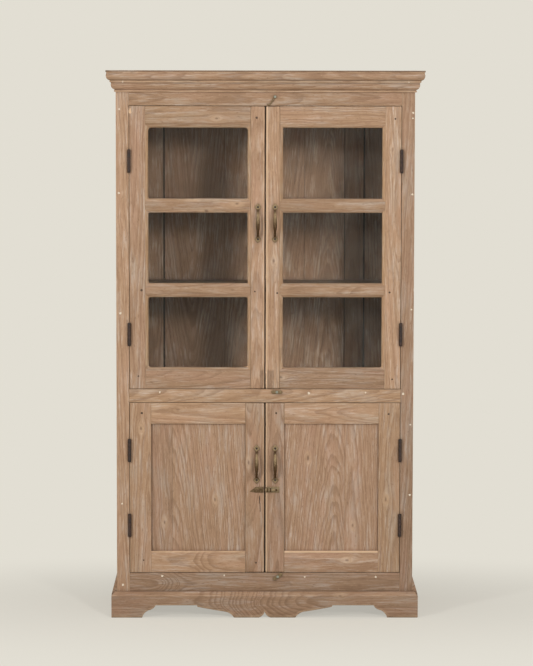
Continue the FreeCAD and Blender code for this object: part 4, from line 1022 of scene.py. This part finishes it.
def pullMesh(node, x, z):
    bm = bmesh.new()
    patinaAndPaintedLight = bm.verts.layers.float.new("patinaAndPaintedLight")
    base = Vector((x, faceY, z))
    neck, standoff, foot = pull["neckSpacingMm"] / 2 * mm, pull["standoffMm"] * mm, pull["footMm"] * mm
    radius = (neck ** 2 + (standoff - foot) ** 2) / (2 * (standoff - foot))
    reach = math.asin(neck / radius)
    steps = len(pull["spindle"]) - 1
    stations = 3 * steps
    sections = []
    for k in range(stations + 1):
        turn = reach * (2 * k / stations - 1)
        at = k / stations * steps
        near = min(int(at), steps - 1)
        part = (1 - math.cos(math.pi * (at - near))) / 2
        share = pull["spindle"][near] * (1 - part) + pull["spindle"][near + 1] * part
        thick = (pull["neckMm"] + (pull["gripMm"] - pull["neckMm"]) * share) * mm
        middle = base + Vector((0, radius - standoff - radius * math.cos(turn), radius * math.sin(turn)))
        outward = Vector((0, -math.cos(turn), math.sin(turn)))
        sections.append([middle + Vector((thick * c, 0, 0)) + outward * thick * s
                         for c, s in circle(pull["sides"])])
    loft(bm, sections)
    wide, tall, deep = (size * mm for size in pull["rosetteMm"])
    power = pull["lozenge"]
    for end in (-1, 1):
        middle = base + Vector((0, 0, end * pull["spacingMm"] / 2 * mm))
        sections = []
        for share, lift in pull["rosette"]:
            ring = []
            for c, s in circle(pull["rosetteSides"]):
                fit = (abs(c) ** power + abs(s) ** power) ** (-1 / power)
                ring.append(middle + Vector((share * wide / 2 * c * fit, -lift * deep, share * tall / 2 * s * fit)))
            sections.append(ring)
        loft(bm, sections)
        screwHead(bm, middle + Vector((0, -pull["screwSeat"] * deep, 0)), x * 40 + end)  # slots stand anyhow
    for vert in bm.verts:
        up = (vert.co.z - z) / (pull["spacingMm"] * mm)
        (low, dark), (high, darkAbove) = next(pair for pair in zip(pull["patinaAndPaintedLight"], pull["patinaAndPaintedLight"][1:])
                                              if pair[0][0] <= up <= pair[1][0])
        vert[patinaAndPaintedLight] = dark + (darkAbove - dark) * (up - low) / (high - low)
    return tidyMesh(bm, node)


def buildPulls():
    for node in pull["nodes"]:
        low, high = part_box(node)
        mesh = pullMesh(node, (low.x + high.x) / 2, (low.z + high.z) / 2)
        standFor(joinMeshes(node + "_casting", [mesh], brass, iron, sharpDegrees=40), node)


# smaller hardware keeps its own shape, with eased edges; what stands proud of the plate and bolt is darker
hardware = {
    "brass": ("bolt_plate", "bolt_keeper", "slide_bolt", "top_hook", "waist_button", "bottom_button"),
    "iron": ("hinge_pins", "hinge_post_leaves", "latch_screws", "upper_left_hinge_leaves",
             "upper_right_hinge_leaves", "lower_left_hinge_leaves", "lower_right_hinge_leaves"),
    "bevelMm": 0.5, "proudMm": {"bolt_plate": 2.6, "slide_bolt": 7.6}, "proudPatina": 0.95,
    "patinaAndPaintedLight": {"bolt_keeper": 0.6, "bolt_plate": 0.3, "slide_bolt": 0.1, "top_hook": 0.3}, "usualPatina": 0.4,
    "bright": {"latch_screws": 0.9},
}


def buildHardware():
    for slot, finish in (("brass", brass), ("iron", iron)):
        for node in hardware[slot]:
            bm = softenedCopy(node, hardware["bevelMm"], bmesh.new())
            for label in ("patinaAndPaintedLight", "bright"):
                bm.verts.layers.float.new(label)
            patinaAndPaintedLight, bright = (bm.verts.layers.float[label] for label in ("patinaAndPaintedLight", "bright"))
            proudY = faceY - hardware["proudMm"].get(node, 99) * mm
            plain = hardware["patinaAndPaintedLight"].get(node, hardware["usualPatina"])
            for vert in bm.verts:
                vert[bright] = hardware["bright"].get(node, 0.0)
                vert[patinaAndPaintedLight] = hardware["proudPatina"] if vert.co.y < proudY else plain
            standFor(joinMeshes(node + "_worn", [tidyMesh(bm, node)], finish, sharpDegrees=35), node)


buildPulls()
buildHardware()
print("hardware made")

# draw pegs, nail holes stopped with putty, a splintered corner and a dent: half width and half height, how ragged,
# then by body x and z in mm on the front face, and how far before it where the spot is on the cornice
markings = {
    "pegs": {"finish": "pegEndGrain", "sizeMm": (3.3, 3.3), "ragged": 0.08, "spots": {
        "upper_left_door": [(-405, 1083), (-34, 1079), (-28.6, 1647)],
        "upper_right_door": [(424, 1644), (39.4, 1074), (408, 1076.5)],
        "lower_left_door": [(-405, 678), (-400, 189), (-29, 180.7)],
        "lower_right_door": [(37, 678), (407, 675)],
        "carcass": [(-416, 800), (418, 790)]}},
    "putty": {"finish": "chalkPutty", "sizeMm": (3.2, 3.2), "ragged": 0.3, "spots": {
        "carcass": [(-477, 1674), (-478.6, 1401), (-475.4, 1007), (-345.6, 747), (144.5, 744), (330.8, 746),
                    (454.3, 742), (478.6, 640), (478.6, 406.7), (-470.4, 377.8), (-339, 136.3), (-133.7, 138),
                    (132.4, 133), (367.3, 133), (-468.8, 106.8), (482, 1664), (481, 1646), (481, 1398), (480, 1020),
                    (-464, 1764, 18.5), (466, 1764, 18.5)]}},
    "splinter": {"finish": "rawSplinter", "sizeMm": (3.5, 9.0), "ragged": 0.3,
                 "spots": {"upper_left_door": [(-441, 1668)]}},
    "dent": {"finish": "pegEndGrain", "sizeMm": (1.8, 13.0), "ragged": 0.35,
             "spots": {"lower_left_door": [(-17, 391), (-15.5, 366)]}},
}
# a low blob let into the face: shares of its size and mm back from the face
blob = {"sides": 14, "rings": ((1.0, 4.0), (1.0, -0.105), (0.75, -0.35), (0.3, -0.315)), "sizes": (0.75, 1.25)}


def blobMesh(key, spot, wide, tall, ragged):
    rng = random.Random(key)
    bm = bmesh.new()
    x, z, *before = spot
    base = Vector((x * mm, faceY - sum(before) * mm, z * mm))
    edge = [(1 + ragged * rng.uniform(-1, 1), c, s) for c, s in circle(blob["sides"])]
    loft(bm, [[base + Vector((wide * share * r * c, back, tall * share * r * s)) * mm for r, c, s in edge]
              for share, back in blob["rings"]])
    return tidyMesh(bm, key)


def buildMarkings():
    for kind, marking in markings.items():
        for body, spots in marking["spots"].items():
            meshes = []
            for index, spot in enumerate(spots):
                key = f"{kind} {body} {index}"
                size = random.Random(key).uniform(*blob["sizes"])
                wide, tall = (half * size for half in marking["sizeMm"])
                meshes.append(blobMesh(key + " rim", spot, wide, tall, marking["ragged"]))
            piece = joinMeshes(f"{body}_{kind}", meshes, filling[marking["finish"]])
            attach(piece, body)


buildMarkings()
print("markings made")

# plain soft studio: pale floor that fades into a backdrop of the same tone, a lamp to each side in front and a wide
# one above; each lamp's place, aim, size in metres and watts
studio = {
    "floor": "E8E4DA", "backdrop": "E2DED3", "ambient": "F6F3EE", "ambientStrength": 0.27, "floorRoughness": 0.9,
    "nearGlow": 0.58, "fadeFrom": 0.25, "fadeTo": 1.1, "floorSize": 80,
    "lamps": {"rightLamp": ((2.4, -6.6, 2.7), (0, 0, 1.1), 0.6, 195),
              "leftLamp": ((-4.0, -5.2, 3.4), (0, 0, 1.0), 0.7, 152),
              "topLamp": ((0, -1.6, 5.6), (0, -0.5, 0), 4.0, 70)},
}


def cameraShows(add):
    # 1 for what the eye, a reflection or a pane shows, 0 for what lights the object
    rays = add("ShaderNodeLightPath").outputs
    shown = add("ShaderNodeMath", {0: rays["Is Camera Ray"], 1: rays["Is Glossy Ray"]}, operation="MAXIMUM")
    return add("ShaderNodeMath", {0: shown, 1: rays["Is Transmission Ray"]}, operation="MAXIMUM")


def buildStudio():
    made, add, surface = newMaterial("paleFloor")
    feed(surface, {"Base Color": linear(studio["floor"]), "Roughness": studio["floorRoughness"]})
    place = add("ShaderNodeTexCoord").outputs["Object"]
    far = add("ShaderNodeVectorMath", {0: place, 1: (0.5, 1, 0)}, operation="MULTIPLY")
    far = add("ShaderNodeVectorMath", {0: far}, operation="LENGTH").outputs["Value"]
    fade = add("ShaderNodeMapRange", {0: far, 1: studio["fadeFrom"], 2: studio["fadeTo"], 3: studio["nearGlow"]},
               interpolation_type="SMOOTHSTEP")
    fade = add("ShaderNodeMath", {0: fade, 1: cameraShows(add)}, operation="MULTIPLY")
    glow = add("ShaderNodeEmission", {0: linear(studio["backdrop"]), 1: 1.0})
    mixed = add("ShaderNodeMixShader", {0: fade, 1: surface, 2: glow})
    feed(made.node_tree.nodes["Material Output"], {0: mixed})
    bpy.ops.mesh.primitive_plane_add(size=studio["floorSize"], location=(0, 0, 0))
    floor = bpy.context.object
    floor.name = "studioFloor"
    floor.data.materials.append(made)
    for name, (at, aim, size, watts) in studio["lamps"].items():
        lamp = bpy.data.lights.new(name, "AREA")
        lamp.shape, lamp.size, lamp.energy = "SQUARE", size, watts
        holder = bpy.data.objects.new(name, lamp)
        holder.location = at
        holder.rotation_euler = (Vector(aim) - Vector(at)).to_track_quat("-Z", "Y").to_euler()
        bpy.context.scene.collection.objects.link(holder)
    world = bpy.data.worlds.new("studioWorld")
    bpy.context.scene.world = world
    world.use_nodes = True
    world.node_tree.nodes.clear()
    add = partial(addNode, world.node_tree)
    ambient = add("ShaderNodeBackground", {0: linear(studio["ambient"]), 1: studio["ambientStrength"]})
    shown = add("ShaderNodeBackground", {0: linear(studio["backdrop"]), 1: 1.0})
    mixed = add("ShaderNodeMixShader", {0: cameraShows(add), 1: ambient, 2: shown})
    add("ShaderNodeOutputWorld", {0: mixed})


# photograph's viewpoint, fitted to the almirah's corners in a 533 x 666 image
viewpoint = {"eye": (-0.0888, -9.238, 1.7196), "pitchDeg": 4.910, "yawDeg": 0.592, "rollDeg": 0.10,
             "focalPixels": 2766, "imageLongSide": 666, "sensorMm": 36, "clipEnd": 200}


def buildCamera():
    camera = bpy.data.cameras.new("photoCamera")
    camera.sensor_width = viewpoint["sensorMm"]
    camera.lens = viewpoint["focalPixels"] / viewpoint["imageLongSide"] * camera.sensor_width
    camera.clip_end = viewpoint["clipEnd"]
    holder = bpy.data.objects.new("photoCamera", camera)
    bpy.context.scene.collection.objects.link(holder)
    turn = (Matrix.Rotation(-math.radians(viewpoint["yawDeg"]), 4, "Z")
            @ Matrix.Rotation(math.radians(90 - viewpoint["pitchDeg"]), 4, "X")
            @ Matrix.Rotation(math.radians(viewpoint["rollDeg"]), 4, "Z"))
    holder.matrix_world = Matrix.Translation(viewpoint["eye"]) @ turn
    bpy.context.scene.camera = holder


buildStudio()
buildCamera()
bpy.context.scene.view_settings.view_transform = "Standard"
print("studio and camera set")
